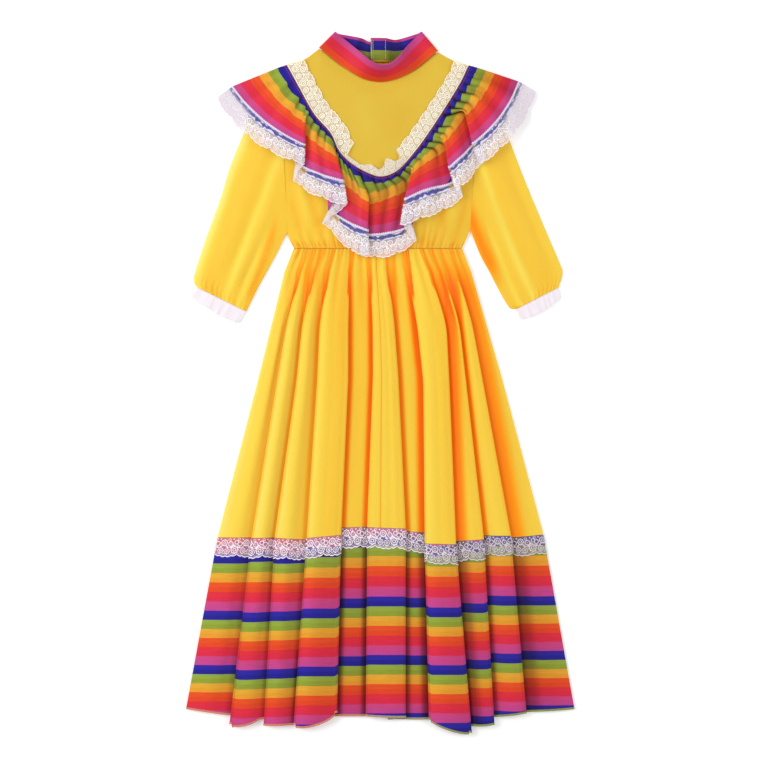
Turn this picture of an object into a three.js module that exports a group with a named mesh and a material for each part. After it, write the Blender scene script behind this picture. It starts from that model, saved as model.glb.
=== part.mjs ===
import * as THREE from 'three';

// A child's long-sleeved dress with a striped ruffle and hem band, laid flat on its back.
// Millimetres. X to the right, Y towards the collar, Z up from the surface it lies on.

const CLOTH = 1.2;
const LACE = 1.0;
const GAP = 0.3;
// Middle of the front cloth where it rests over the back.
const FRONT_Z = 2.1;
// Radii of the lower and upper turn of a fold.
const TURN_LOW = 2.4;
const TURN_TOP = 1.3;
const FOLD_RISE = 2 * TURN_LOW + 2 * TURN_TOP;
const ON_CLOTH = CLOTH / 2 + GAP + LACE / 2;

const WAIST_Y = 187.6;
const WAIST_PUFF = 2.5;
const LACE_DROP = 28;
const BAND_DEPTH = 250;

// Places down the skirt: waist, hip, middle, band seam, hem.
const DOWN = [0, 0.08, 0.455, 1, 2];
// One row per fold of the skirt front. x: left boundary at each place down. top: which side lies
// on top there. seam, hem: y at the fold's left and right end. n: ridges and dips at the waist.
const FOLDS = [
  { name: 'A', top: 'side', x: [-120.4, -133.4, -170.8, -227.5, -271.6], seam: [-217, -217], hem: [-457, -466], n: 5, tuck: 0 },
  { name: 'B', top: 'right', x: [-107, -117.6, -143.4, -179.2, -210], seam: [-217, -217], hem: [-477, -465], n: 4, tuck: 11 },
  { name: 'C', top: 'right', x: [-92, -100.8, -116.2, -147, -162.4], seam: [-217, -220], hem: [-479, -479], n: 4, tuck: 11 },
  { name: 'D', top: 'right', x: [-74, -80.5, -87.4, -102.2, -120.4], seam: [-217, -213], hem: [-478, -461], n: 7, tuck: 17 },
  { name: 'E', top: 'left', x: [-42, -44.8, -44.8, -54.6, -60.2], seam: [-203, -202], hem: [-467, -467], n: 5, tuck: 17 },
  { name: 'F', top: 'right', x: [-10, -10.2, -9.4, -17.5, -19.6], seam: [-202, -204], hem: [-466, -468], n: 7, tuck: 18 },
  { name: 'G', top: 'left', x: [13, 14, 25.2, 35.7, 35.7], seam: [-208, -210], hem: [-471, -471], n: 5, tuck: 18 },
  { name: 'H', top: 'right', x: [41, 44.8, 61, 63, 68.6], seam: [-225, -226], hem: [-471, -489], n: 7, tuck: 14 },
  { name: 'I', top: 'left', x: [80, 88.9, 96.6, 106, 128], seam: [-222, -219], hem: [-480, -478], n: 4, tuck: 14 },
  { name: 'J', top: 'left', x: [93, 102.2, 119.7, 144.9, 159.6], seam: [-214, -214], hem: [-468, -462], n: 4, tuck: 12 },
  { name: 'K', top: 'left', x: [104, 114.8, 142.8, 182.7, 204.4], seam: [-217, -213], hem: [-461, -457], n: 5, tuck: 12 },
];
const SKIRT_RIGHT = [114.8, 127.4, 170.8, 228.9, 272.3];
// Share of the full tuck at each place down.
const TUCK_SHARE = [0, 0.16, 0.5, 1, 1.35];
const SKIRT_ROWS = [0, 0.03, 0.08, 0.16, 0.28, 0.5, 0.75, 1];
const BAND_ROWS = [1, 1 + 14 / BAND_DEPTH, 1 + LACE_DROP / BAND_DEPTH, 1.5, 2];

// Where the ruffle is stitched to the bodice, from the left shoulder round to the right.
const RUFFLE_SEAM = [
  [-131, 444], [-116, 416.5], [-93.5, 376.5], [-70, 349], [-58, 324], [-39, 305], [-13, 291],
  [5, 288], [26, 297], [48, 321], [68, 348], [92, 384.5], [113, 419], [124.5, 443.5],
];
// One row per fold edge of the ruffle. at: place along the seam. edge, under, low: the upper
// fold's edge, the hidden turn below it and where the lower fold comes out, at the stripe end
// and at the lace end.
const RUFFLE_EDGES = [
  {
    top: 'left', at: [-103.6, 394],
    edge: [[-104.7, 333], [-106.4, 303]], under: [[-119, 308], [-123, 281]], low: [[-104, 301.5], [-107, 269]],
  },
  {
    top: 'left', at: [-70, 349],
    edge: [[-51.5, 283.5], [-45.5, 246]], under: [[-73.5, 241], [-82.5, 221]], low: [[-55, 232], [-55, 196]],
  },
  {
    top: 'left', at: [-13.5, 291],
    edge: [[-17, 214], [-15.5, 176]], under: [[-29, 211], [-29, 177]], low: [[-17, 208], [-15, 174]],
  },
  {
    top: 'right', at: [53, 328],
    edge: [[35, 258], [28.5, 218]], under: [[47, 221], [53, 196]], low: [[33, 216], [34, 183]],
  },
  {
    top: 'right', at: [83, 370],
    edge: [[95.5, 302], [107.5, 265]], under: [[110, 284], [118, 258]], low: [[96, 278], [102.5, 246]],
  },
  {
    top: 'right', at: [110, 413],
    edge: [[128.5, 335], [140, 303]], under: [[136, 339], [149, 311]], low: [[128, 333], [138, 299]],
  },
];
const RUFFLE_LEFT = [[-131, 444], [-205.5, 415], [-229.6, 397.6]];
const RUFFLE_RIGHT = [[124.5, 443.5], [193, 422], [219.5, 406.7]];
// Bow of the stripe end and of the lace end of each ruffle fold, the share of its width over
// which it comes down from its raised edge, and its ridges at the seam.
const RUFFLE_FOLDS = [
  { name: 'R1', bow: [9, 16], down: 1, n: 9 },
  { name: 'R2', bow: [2, 3], down: 1, n: 6 },
  { name: 'R3', bow: [1, 5], down: 0.64, n: 6 },
  { name: 'R4', bow: [2, 4], down: 1, n: 8 },
  { name: 'R5', bow: [-3, 2], down: 0.82, n: 6 },
  { name: 'R6', bow: [1, 1], down: 1, n: 4 },
  { name: 'R7', bow: [8, 12], down: 1, n: 9 },
];
const RUFFLE_Z = 7.6;
const RUFFLE_PUFF = 2.0;
// Ruffle cloth reaches past its last stripe line under the lace; lace end is 1.
const RUFFLE_CLOTH_END = 1.14;
const RUFFLE_LACE_END = 1.4;
const RUFFLE_ROWS = [0, 0.08, 0.18, 0.32, 0.55, 1.0, RUFFLE_CLOTH_END];

const NECK_FRONT = [
  [-84.8, 467.5], [-60.5, 447.4], [-41.7, 435], [-23, 425], [-2.8, 420.7], [14.6, 422.5],
  [33.3, 428.7], [51.9, 439], [66, 450.5], [80.8, 462.7],
];
const NECK_BACK = [[-84.8, 467.5], [-60, 458], [-32, 451.6], [-2.8, 450.1], [28, 451], [57, 456], [80.8, 462.7]];
const SHOULDER_LEFT = [[-151.2, 436], [-130, 445.2], [-108.5, 451], [-84.8, 467.5]];
const SHOULDER_RIGHT = [[80.8, 462.7], [103.6, 450.5], [124.5, 443.8], [144.2, 436]];
const ARM_LEFT = [[-151.2, 436], [-140, 381.5], [-134.4, 308.7], [-131.6, 255.5], [-129.5, 209.3], [-120.4, 188.2]];
const ARM_RIGHT = [[144.2, 436], [137.2, 381.5], [133, 308.7], [128.8, 255.5], [125.3, 214], [114.8, 188.2]];

// Sleeve edges from shoulder to cuff and from underarm to cuff.
const SLEEVES = {
  left: {
    outer: [[-154, 436], [-173.6, 395.5], [-191, 350], [-210.3, 301.7], [-224.3, 255.5], [-245, 198.7], [-260.8, 147.7], [-257, 133.7]],
    inner: [[-130.8, 209.3], [-143, 184], [-157, 158], [-169.7, 135], [-180.2, 114], [-187.2, 99.4]],
    lace: [[-264.5, 120], [-224, 95], [-197, 83]],
  },
  right: {
    outer: [[147, 436], [168, 377], [188, 322], [202.7, 283.5], [228.6, 221.3], [251.9, 166.9], [255.8, 153], [250.6, 133.5]],
    inner: [[126.6, 213.5], [131.5, 200.6], [141.8, 176], [154.7, 152.7], [163.8, 134.5], [180.6, 106], [191, 102.9]],
    lace: [[253.5, 119.5], [224, 99], [197, 88]],
  },
};
const SLEEVE_RINGS = [0, 0.08, 0.2, 0.35, 0.5, 0.65, 0.78, 0.88, 0.95, 1];
const SLEEVE_TOP = 15;

// Collar: strip folded double, 32 wide, from the centre back round the front to the centre back.
// low, high: its seam and its free edge. up: height of the middle of the strip at both.
const COLLAR_WALL = 2.2;
const COLLAR = [
  { low: [5, 451], high: [5, 477.5], up: [1.1, 1.1] },
  { low: [-14, 451], high: [-14, 477], up: [1.1, 1.1] },
  { low: [-32, 452.3], high: [-25, 482], up: [1.1, 1.1] },
  { low: [-60, 458.8], high: [-44, 486], up: [1.1, 1.1] },
  { low: [-82.2, 467.3], high: [-59.5, 489], up: [1.1, 1.1] },
  { low: [-84.6, 468.4], high: [-61.8, 490.8], up: [2.9, 2.9] },
  { low: [-82.2, 466.6], high: [-59.5, 488.4], up: [4.7, 4.7] },
  { low: [-60.3, 448.3], high: [-42, 474], up: [4.3, 6.5] },
  { low: [-41.4, 435.9], high: [-26, 460], up: [3.9, 13] },
  { low: [-22.7, 425.9], high: [-11, 445.6], up: [3.6, 24] },
  { low: [-2.8, 421.7], high: [2, 440], up: [3.5, 28.5] },
  { low: [14.4, 423.5], high: [15, 442.5], up: [3.5, 27.5] },
  { low: [33, 429.7], high: [27.5, 455], up: [3.7, 19] },
  { low: [51.3, 439.8], high: [39.5, 472], up: [4.1, 8] },
  { low: [65.4, 451.3], high: [48.5, 482], up: [4.5, 5.2] },
  { low: [78, 462], high: [55, 489], up: [4.7, 4.7] },
  { low: [80.4, 463.9], high: [57.3, 491], up: [2.9, 2.9] },
  { low: [78, 462.8], high: [55, 489.6], up: [1.1, 1.1] },
  { low: [57, 456.8], high: [41, 485], up: [1.1, 1.1] },
  { low: [28, 451.8], high: [22, 480], up: [1.1, 1.1] },
  { low: [17, 451.2], high: [14, 481], up: [1.4, 1.4] },
  { low: [9, 451], high: [8, 482], up: [3.7, 3.7] },
  { low: [-13, 451], high: [-13, 482.4], up: [3.7, 3.7] },
];

const mix = (a, b, t) => a + (b - a) * t;
const mix2 = (a, b, t) => [mix(a[0], b[0], t), mix(a[1], b[1], t)];
const clamp = (x, a, b) => Math.min(b, Math.max(a, x));
const ease = (a, b, x) => {
  const t = clamp((x - a) / (b - a), 0, 1);
  return t * t * (3 - 2 * t);
};
// A steady unevenness between -1 and 1.
const uneven = (i) => {
  const s = Math.sin(i * 12.9898 + 4.1) * 43758.5453;
  return 2 * (s - Math.floor(s)) - 1;
};

// Value of a table given at places, joined by straight runs.
function along(places, values, t) {
  let i = 0;
  while (i < places.length - 2 && t > places[i + 1]) i += 1;
  const u = (t - places[i]) / (places[i + 1] - places[i]);
  return mix(values[i], values[i + 1], u);
}

// Point at share t of a line's length, through its points.
function onLine(points, t) {
  const lengths = [0];
  for (let i = 1; i < points.length; i += 1) {
    const step = Math.hypot(points[i][0] - points[i - 1][0], points[i][1] - points[i - 1][1]);
    lengths.push(lengths[i - 1] + step);
  }
  const want = clamp(t, 0, 1) * lengths[lengths.length - 1];
  let i = 0;
  while (i < points.length - 2 && want > lengths[i + 1]) i += 1;
  const u = (want - lengths[i]) / (lengths[i + 1] - lengths[i]);
  const p0 = points[Math.max(0, i - 1)];
  const p1 = points[i];
  const p2 = points[i + 1];
  const p3 = points[Math.min(points.length - 1, i + 2)];
  const curve = (k) => {
    const m1 = i > 0 ? (p2[k] - p0[k]) / 2 : p2[k] - p1[k];
    const m2 = i < points.length - 2 ? (p3[k] - p1[k]) / 2 : p2[k] - p1[k];
    const u2 = u * u;
    const u3 = u2 * u;
    return (2 * u3 - 3 * u2 + 1) * p1[k] + (u3 - 2 * u2 + u) * m1 + (3 * u2 - 2 * u3) * p2[k] + (u3 - u2) * m2;
  };
  return [curve(0), curve(1)];
}

// Patch in plan between four edge lines.
function patch(top, bottom, left, right, u, w) {
  const t = top(u);
  const b = bottom(u);
  const l = left(w);
  const r = right(w);
  const c = [top(0), top(1), bottom(0), bottom(1)];
  const out = [0, 0];
  for (let k = 0; k < 2; k += 1) {
    const flat = mix(mix(c[0][k], c[1][k], u), mix(c[2][k], c[3][k], u), w);
    out[k] = mix(t[k], b[k], w) + mix(l[k], r[k], u) - flat;
  }
  return out;
}

// Directions square to a grid of points, lengthened at sharp turns so a wall keeps its thickness.
function outward(grid) {
  const rows = grid.length;
  const cols = grid[0].length;
  const face = (r, c) => {
    const a = new THREE.Vector3(...grid[r][c]);
    const b = new THREE.Vector3(...grid[r][c + 1]);
    const d = new THREE.Vector3(...grid[r + 1][c]);
    const e = new THREE.Vector3(...grid[r + 1][c + 1]);
    return e.sub(a).cross(b.sub(d)).normalize();
  };
  const faces = [];
  for (let r = 0; r < rows - 1; r += 1) {
    faces.push([]);
    for (let c = 0; c < cols - 1; c += 1) faces[r].push(face(r, c));
  }
  return grid.map((line, r) => line.map((p, c) => {
    const sum = new THREE.Vector3();
    let count = 0;
    for (const rr of [r - 1, r]) {
      for (const cc of [c - 1, c]) {
        if (rr >= 0 && rr < rows - 1 && cc >= 0 && cc < cols - 1) {
          sum.add(faces[rr][cc]);
          count += 1;
        }
      }
    }
    sum.divideScalar(count);
    return sum.divideScalar(Math.max(sum.lengthSq(), 0.5)).toArray();
  }));
}

function moved(grid, away) {
  const dirs = outward(grid);
  return grid.map((line, r) => line.map((p, c) => p.map((v, k) => v + dirs[r][c][k] * away)));
}

function solid(name, points, triangles, colour) {
  const shape = new THREE.BufferGeometry();
  shape.setAttribute('position', new THREE.Float32BufferAttribute(points.flat(), 3));
  shape.setIndex(triangles);
  shape.computeVertexNormals();
  const mesh = new THREE.Mesh(shape, new THREE.MeshStandardMaterial({ color: colour, roughness: 0.9 }));
  mesh.name = name;
  return mesh;
}

// Closed wall between an upper and a lower grid of points, seen from above anticlockwise.
function between(name, upper, lower, colour) {
  const rows = upper.length;
  const cols = upper[0].length;
  const points = [...upper.flat(), ...lower.flat()];
  const at = (r, c) => r * cols + c;
  const low = rows * cols;
  const tris = [];
  const quad = (a, b, c, d) => tris.push(a, b, c, a, c, d);
  const far = (a, b) => Math.hypot(...points[a].map((v, k) => v - points[b][k]));
  for (let r = 0; r < rows - 1; r += 1) {
    for (let c = 0; c < cols - 1; c += 1) {
      const a = at(r + 1, c);
      const b = at(r + 1, c + 1);
      const d = at(r, c + 1);
      const e = at(r, c);
      if (far(a, d) <= far(b, e)) {
        tris.push(a, b, d, a, d, e);
        tris.push(low + a, low + d, low + b, low + a, low + e, low + d);
      } else {
        tris.push(a, b, e, b, d, e);
        tris.push(low + a, low + e, low + b, low + b, low + e, low + d);
      }
    }
  }
  for (let c = 0; c < cols - 1; c += 1) {
    quad(at(0, c), at(0, c + 1), low + at(0, c + 1), low + at(0, c));
    quad(at(rows - 1, c + 1), at(rows - 1, c), low + at(rows - 1, c), low + at(rows - 1, c + 1));
  }
  for (let r = 0; r < rows - 1; r += 1) {
    quad(at(r + 1, 0), at(r, 0), low + at(r, 0), low + at(r + 1, 0));
    quad(at(r, cols - 1), at(r + 1, cols - 1), low + at(r + 1, cols - 1), low + at(r, cols - 1));
  }
  return solid(name, points, tris, colour);
}

const wall = (name, grid, thick, colour) => between(name, moved(grid, thick / 2), moved(grid, -thick / 2), colour);

// Flat piece resting on the floor.
function flatPiece(name, plan, thick, colour) {
  const upper = plan.map((line) => line.map((p) => [p[0], p[1], thick]));
  const lower = plan.map((line) => line.map((p) => [p[0], p[1], 0]));
  return between(name, upper, lower, colour);
}

// Columns of a folded sheet: two side columns, six round each fold edge, the rest on the folds.
function columnsOf(folds, edges) {
  const cols = [{ kind: 'side', fold: 0, u: 0, zig: 0, w: 1 }];
  let last = 0;
  folds.forEach((fold, i) => {
    for (let j = 0; j < fold.n; j += 1) {
      last = 1 - last;
      cols.push({ kind: 'crest', fold: i, u: (j + 0.5) / fold.n, zig: last, w: 1 });
    }
    if (i < folds.length - 1) {
      const right = edges[i].top === 'right';
      for (let j = 0; j < 6; j += 1) {
        const k = right ? j : 5 - j;
        cols.push({ kind: 'turn', edge: i, k, zig: k / 5, w: j === 0 ? 1 : 0.34 });
      }
      last = right ? 1 : 0;
    }
  });
  cols.push({ kind: 'side', fold: folds.length - 1, u: 1, zig: 0, w: 1 });
  let total = 0;
  cols.forEach((col, i) => {
    total += i > 0 ? col.w : 0;
    col.g = total;
  });
  cols.forEach((col) => { col.g /= total; });
  return cols;
}

// Point of a folded sheet. spec holds edge(i, v), under(i, v), way(i), ends(v), base(x, y),
// start(g) along the gathered seam, puff, blend(v) and the fold rows.
function foldPoint(spec, col, v) {
  const place = (w) => {
    // The tuck deepens as the fold rises, so its turns never touch near the gathers.
    const tuck = (e) => mix2(spec.edge(e, w), spec.under(e, w), spec.blend(w));
    const depth = (e) => {
      const way = spec.way(e);
      const a = spec.edge(e, w);
      const b = tuck(e);
      return (b[0] - a[0]) * way[0] + (b[1] - a[1]) * way[1];
    };
    if (col.kind === 'turn') {
      const way = spec.way(col.edge);
      const upper = col.k > 2;
      const p = upper ? spec.edge(col.edge, w) : tuck(col.edge);
      const middle = col.k === 1 || col.k === 4;
      const back = (middle ? 0 : (upper ? TURN_TOP : -TURN_LOW)) * clamp(depth(col.edge) / 8, 0, 1);
      const rise = [0, TURN_LOW, 2 * TURN_LOW, 2 * TURN_LOW, 2 * TURN_LOW + TURN_TOP, FOLD_RISE][col.k];
      return { p: [p[0] + way[0] * back, p[1] + way[1] * back], rise };
    }
    const i = col.fold;
    const count = spec.folds.length;
    const end = (e, isLeft) => {
      if (e < 0 || e >= count - 1) return { p: spec.ends(w)[isLeft ? 0 : 1], high: 0, deep: 0 };
      const high = spec.edges[e].top === (isLeft ? 'right' : 'left');
      const way = spec.way(e);
      const a = spec.edge(e, w);
      const b = tuck(e);
      const deep = depth(e);
      const out = spec.low ? mix2(a, spec.low(e, w), spec.blend(w)) : [b[0] - way[0] * deep, b[1] - way[1] * deep];
      const p = high ? [a[0] + way[0] * TURN_TOP, a[1] + way[1] * TURN_TOP] : out;
      return { p, high: high ? 1 : 0, deep };
    };
    const l = end(i - 1, true);
    const r = end(i, false);
    const p = mix2(l.p, r.p, col.u);
    const wide = Math.hypot(r.p[0] - l.p[0], r.p[1] - l.p[1]);
    const bow = spec.bow(i, w) * 4 * col.u * (1 - col.u);
    const out = [(r.p[1] - l.p[1]) / wide, -(r.p[0] - l.p[0]) / wide];
    p[0] += out[0] * bow;
    p[1] += out[1] * bow;
    const hump = Math.sin(Math.PI * col.u);
    let rise = 0;
    if (l.high && r.high) rise = FOLD_RISE + 1.2 * hump;
    else if (!l.high && !r.high) rise = (spec.lowHump ? spec.lowHump(i) : 1.4) * hump;
    else {
      const u = l.high ? col.u : 1 - col.u;
      const deep = l.high ? l.deep : r.deep;
      const hold = clamp((deep + 3) / wide, 0.15, 0.85);
      const down = spec.folds[i].down || 1;
      rise = FOLD_RISE * (1 - ease(Math.min(hold, down - 0.15), down + 0.02, u)) + 0.5 * hump * down;
    }
    return { p, rise };
  };
  const now = place(v);
  const first = place(0);
  const s = spec.blend(v);
  const seam = spec.start(col.g);
  const x = now.p[0] + (1 - s) * (seam[0] - first.p[0]);
  const y = now.p[1] + (1 - s) * (seam[1] - first.p[1]);
  const gather = spec.puff * col.zig * (col.kind === 'crest' ? 0.86 + 0.14 * uneven(col.g * 977) : 1);
  return [x, y, spec.base(x, y, v) + mix(gather, now.rise, s)];
}

const skirtY = (fold, side, v) => (v <= 1
  ? mix(WAIST_Y, FOLDS[fold].seam[side], v)
  : mix(FOLDS[fold].seam[side], FOLDS[fold].hem[side], v - 1));
const skirtEdges = FOLDS.slice(1).map((f) => ({ top: f.top, tuck: f.tuck }));
const skirt = {
  folds: FOLDS,
  edges: skirtEdges,
  way: (e) => [skirtEdges[e].top === 'right' ? 1 : -1, 0],
  edge: (e, v) => {
    const right = skirtEdges[e].top === 'right';
    return [along(DOWN, FOLDS[e + 1].x, v), skirtY(right ? e + 1 : e, right ? 0 : 1, v)];
  },
  under: (e, v) => {
    const right = skirtEdges[e].top === 'right';
    const deep = skirtEdges[e].tuck * along(DOWN, TUCK_SHARE, v);
    return [along(DOWN, FOLDS[e + 1].x, v) + (right ? deep : -deep), skirtY(right ? e : e + 1, right ? 1 : 0, v)];
  },
  ends: (v) => [
    [along(DOWN, FOLDS[0].x, v), skirtY(0, 0, v)],
    [along(DOWN, SKIRT_RIGHT, v), skirtY(FOLDS.length - 1, 1, v)],
  ],
  bow: () => 0,
  lowHump: (i) => (i === 0 || i === FOLDS.length - 1 ? 2.2 : 1.3),
  base: () => FRONT_Z,
  start: (g) => [mix(FOLDS[0].x[0], SKIRT_RIGHT[0], g), WAIST_Y],
  puff: WAIST_PUFF,
  blend: (v) => ease(0, 0.3, v),
};
const skirtColumns = columnsOf(FOLDS, skirtEdges);
// Centre front seam: a column a third of the way across the middle fold.
const centreFold = FOLDS.findIndex((f) => f.name === 'F');
const centreColumn = skirtColumns.findIndex((c) => c.kind === 'crest' && c.fold === centreFold) + 2;
skirtColumns[centreColumn].u = 0.33;

function skirtGrid(rows) {
  return rows.map((v, r) => skirtColumns.map((col) => {
    const p = foldPoint(skirt, col, v);
    return [p[0], p[1] - (rows[0] === 1 && r === 0 ? GAP : 0), p[2]];
  }));
}

// Columns from one to another of a grid, the end at the centre front moved aside for the seam.
const cut = (grid, from, to, side) => grid.map((line) => line.slice(from, to + 1).map((p, c) => {
  const atSeam = c === (side < 0 ? to - from : 0);
  return [p[0] + (atSeam ? side * GAP / 2 : 0), p[1], p[2]];
}));

const ruffleSeam = (g) => onLine(RUFFLE_SEAM, g);
function ruffleTable(seam, hem, lace, v) {
  return v <= 1 ? mix2(seam, hem, v) : mix2(hem, lace, (v - 1) / (RUFFLE_LACE_END - 1));
}
// How far a place lies outside the sleeves' upper edges.
function beyondSleeve(x, y) {
  const left = -(x + 154) * 0.924 + (y - 436) * 0.386;
  const right = (x - 144.2) * 0.934 + (y - 436.1) * 0.358;
  return Math.max(left, right);
}
const ruffle = {
  folds: RUFFLE_FOLDS,
  edges: RUFFLE_EDGES,
  way: (e) => {
    const row = RUFFLE_EDGES[e];
    const axis = [row.edge[0][0] - row.at[0], row.edge[0][1] - row.at[1]];
    const size = Math.hypot(...axis);
    const side = row.top === 'right' ? 1 : -1;
    return [-axis[1] / size * side, axis[0] / size * side];
  },
  edge: (e, v) => ruffleTable(RUFFLE_EDGES[e].at, ...RUFFLE_EDGES[e].edge, v),
  under: (e, v) => ruffleTable(RUFFLE_EDGES[e].at, ...RUFFLE_EDGES[e].under, v),
  low: (e, v) => ruffleTable(RUFFLE_EDGES[e].at, ...RUFFLE_EDGES[e].low, v),
  ends: (v) => [ruffleTable(...RUFFLE_LEFT, v), ruffleTable(...RUFFLE_RIGHT, v)],
  bow: (i, v) => {
    const [hem, lace] = RUFFLE_FOLDS[i].bow;
    return v <= 1 ? hem * v : mix(hem, lace, (v - 1) / (RUFFLE_LACE_END - 1));
  },
  lowHump: (i) => (i === 0 || i === RUFFLE_FOLDS.length - 1 ? 1.5 : 1.6),
  base: (x, y, v) => RUFFLE_Z - 1.1 * (1 - ease(0, 0.2, v)) - 4.6 * ease(-2, 50, beyondSleeve(x, y)),
  start: ruffleSeam,
  puff: RUFFLE_PUFF,
  blend: (v) => ease(0, 0.5, v),
};
const ruffleColumns = columnsOf(RUFFLE_FOLDS, RUFFLE_EDGES);
const ruffleGrid = (rows) => rows.map((v) => ruffleColumns.map((col) => foldPoint(ruffle, col, v)));

// Bodice front: height of its middle, u across and w from shoulder to waist.
function bodiceRise(u, w) {
  const inside = ease(0, 0.16, Math.min(u, 1 - u));
  const low = ease(0, 0.1, w);
  const sideSeam = ease(0.8, 0.93, w) * (1 - inside);
  return low * (1.5 + 0.8 * inside) * (1 - sideSeam);
}
const BODICE_COLUMNS = 61;
const BODICE_ROWS = [0, 0.05, 0.12, 0.28, 0.5, 0.7, 0.84, 0.93, 1];
const topOf = (neck) => (u) => {
  if (u < 0.2) return onLine(SHOULDER_LEFT, u / 0.2);
  if (u > 0.8) return onLine(SHOULDER_RIGHT, (u - 0.8) / 0.2);
  return onLine(neck, (u - 0.2) / 0.6);
};
const waistLine = (u) => [mix(-120.4, 114.8, u), WAIST_Y + GAP];
const bodicePlan = (neck, u, w) => patch(
  topOf(neck), waistLine, (t) => onLine(ARM_LEFT, t), (t) => onLine(ARM_RIGHT, t), u, w,
);
const bodiceGrid = BODICE_ROWS.map((w) => {
  const line = [];
  for (let c = 0; c < BODICE_COLUMNS; c += 1) {
    const u = c / (BODICE_COLUMNS - 1);
    const p = bodicePlan(NECK_FRONT, u, w);
    const fade = ease(0.72 + 0.06 * uneven(c * 3 + 1), 1, w);
    const zig = (c % 2) * WAIST_PUFF * fade * (0.86 + 0.14 * uneven(c * 7));
    const rise = bodiceRise(u, w) * (1 - ease(0.75, 1, w));
    line.push([p[0], p[1], FRONT_Z + rise + zig]);
  }
  return line;
});

function bodiceBack(from, to, shift) {
  return BODICE_ROWS.map((w) => {
    const line = [];
    for (let c = 0; c <= 6; c += 1) {
      const u = mix(from, to, c / 6);
      const p = bodicePlan(NECK_BACK, u, w);
      line.push([p[0] + (u === 0.5 ? shift : 0), p[1]]);
    }
    return line;
  });
}

// Yoke lace: along the ruffle seam, on the bodice, its scallops towards the neck.
const YOKE_COLUMNS = 92;
const YOKE_WIDE = 22;
function yokeLace() {
  const rows = [0, 0.5, 1];
  return rows.map((w) => {
    const line = [];
    for (let c = 0; c <= YOKE_COLUMNS; c += 1) {
      const g = c / YOKE_COLUMNS;
      const a = onLine(RUFFLE_SEAM, Math.max(0, g - 0.02));
      const b = onLine(RUFFLE_SEAM, Math.min(1, g + 0.02));
      const p = onLine(RUFFLE_SEAM, g);
      const size = Math.hypot(b[0] - a[0], b[1] - a[1]);
      const inward = [-(b[1] - a[1]) / size, (b[0] - a[0]) / size];
      const curl = ease(0.42, 0.47, g) * (1 - ease(0.6, 0.64, g));
      const wave = Math.sin(g * Math.PI * 2 * 23);
      const wide = mix(YOKE_WIDE, 14, curl) + 1.6 * wave * w;
      const away = 1 + wide * w;
      const lift = curl * (1.6 * w + 1.1 * w * Math.sin(g * Math.PI * 2 * 30));
      line.push([p[0] + inward[0] * away, p[1] + inward[1] * away, 6.25 + 0.5 * w * wave * (1 - curl) + lift]);
    }
    return line;
  });
}

// A flattened tube: across from its outer to its inner edge, resting on the floor.
function tube(name, plan, rings, height, thick, colour) {
  const points = [];
  const bottom = [0, 0.17, 0.34, 0.5, 0.66, 0.83, 1];
  const count = bottom.length + 2 + SLEEVE_TOP;
  rings.forEach((w) => {
    const wide = Math.hypot(plan(1, w)[0] - plan(0, w)[0], plan(1, w)[1] - plan(0, w)[1]);
    const loop = (inset, low, tops) => {
      const at = (share, in2, z) => {
        const u = clamp(share, (inset + in2) / wide, 1 - (inset + in2) / wide);
        const p = plan(u, w);
        return [p[0], p[1], z];
      };
      bottom.forEach((b) => points.push(at(b, 0.6, low)));
      points.push(at(1, 0, 1.35));
      for (let j = SLEEVE_TOP - 1; j >= 0; j -= 1) points.push(at(j / (SLEEVE_TOP - 1), 0.6, tops(j)));
      points.push(at(0, 0, 1.35));
    };
    const top = (j) => height(j / (SLEEVE_TOP - 1), w, j);
    loop(0, 0, top);
    loop(thick, thick, (j) => top(j) - thick);
  });
  const tris = [];
  const at = (ring, inside, i) => ring * 2 * count + inside * count + (i % count);
  const quad = (a, b, c, d) => tris.push(a, b, c, a, c, d);
  for (let r = 0; r < rings.length - 1; r += 1) {
    for (let i = 0; i < count; i += 1) {
      quad(at(r, 0, i), at(r, 0, i + 1), at(r + 1, 0, i + 1), at(r + 1, 0, i));
      quad(at(r, 1, i + 1), at(r, 1, i), at(r + 1, 1, i), at(r + 1, 1, i + 1));
    }
  }
  const last = rings.length - 1;
  for (let i = 0; i < count; i += 1) {
    quad(at(0, 0, i + 1), at(0, 0, i), at(0, 1, i), at(0, 1, i + 1));
    quad(at(last, 0, i), at(last, 0, i + 1), at(last, 1, i + 1), at(last, 1, i));
  }
  const mesh = solid(name, points, tris, colour);
  return mesh;
}

// Turns a mesh's faces the other way round.
function flipped(mesh) {
  const index = Array.from(mesh.geometry.index.array);
  for (let i = 0; i < index.length; i += 3) [index[i + 1], index[i + 2]] = [index[i + 2], index[i + 1]];
  mesh.geometry.setIndex(index);
  mesh.geometry.computeVertexNormals();
  return mesh;
}

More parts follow.
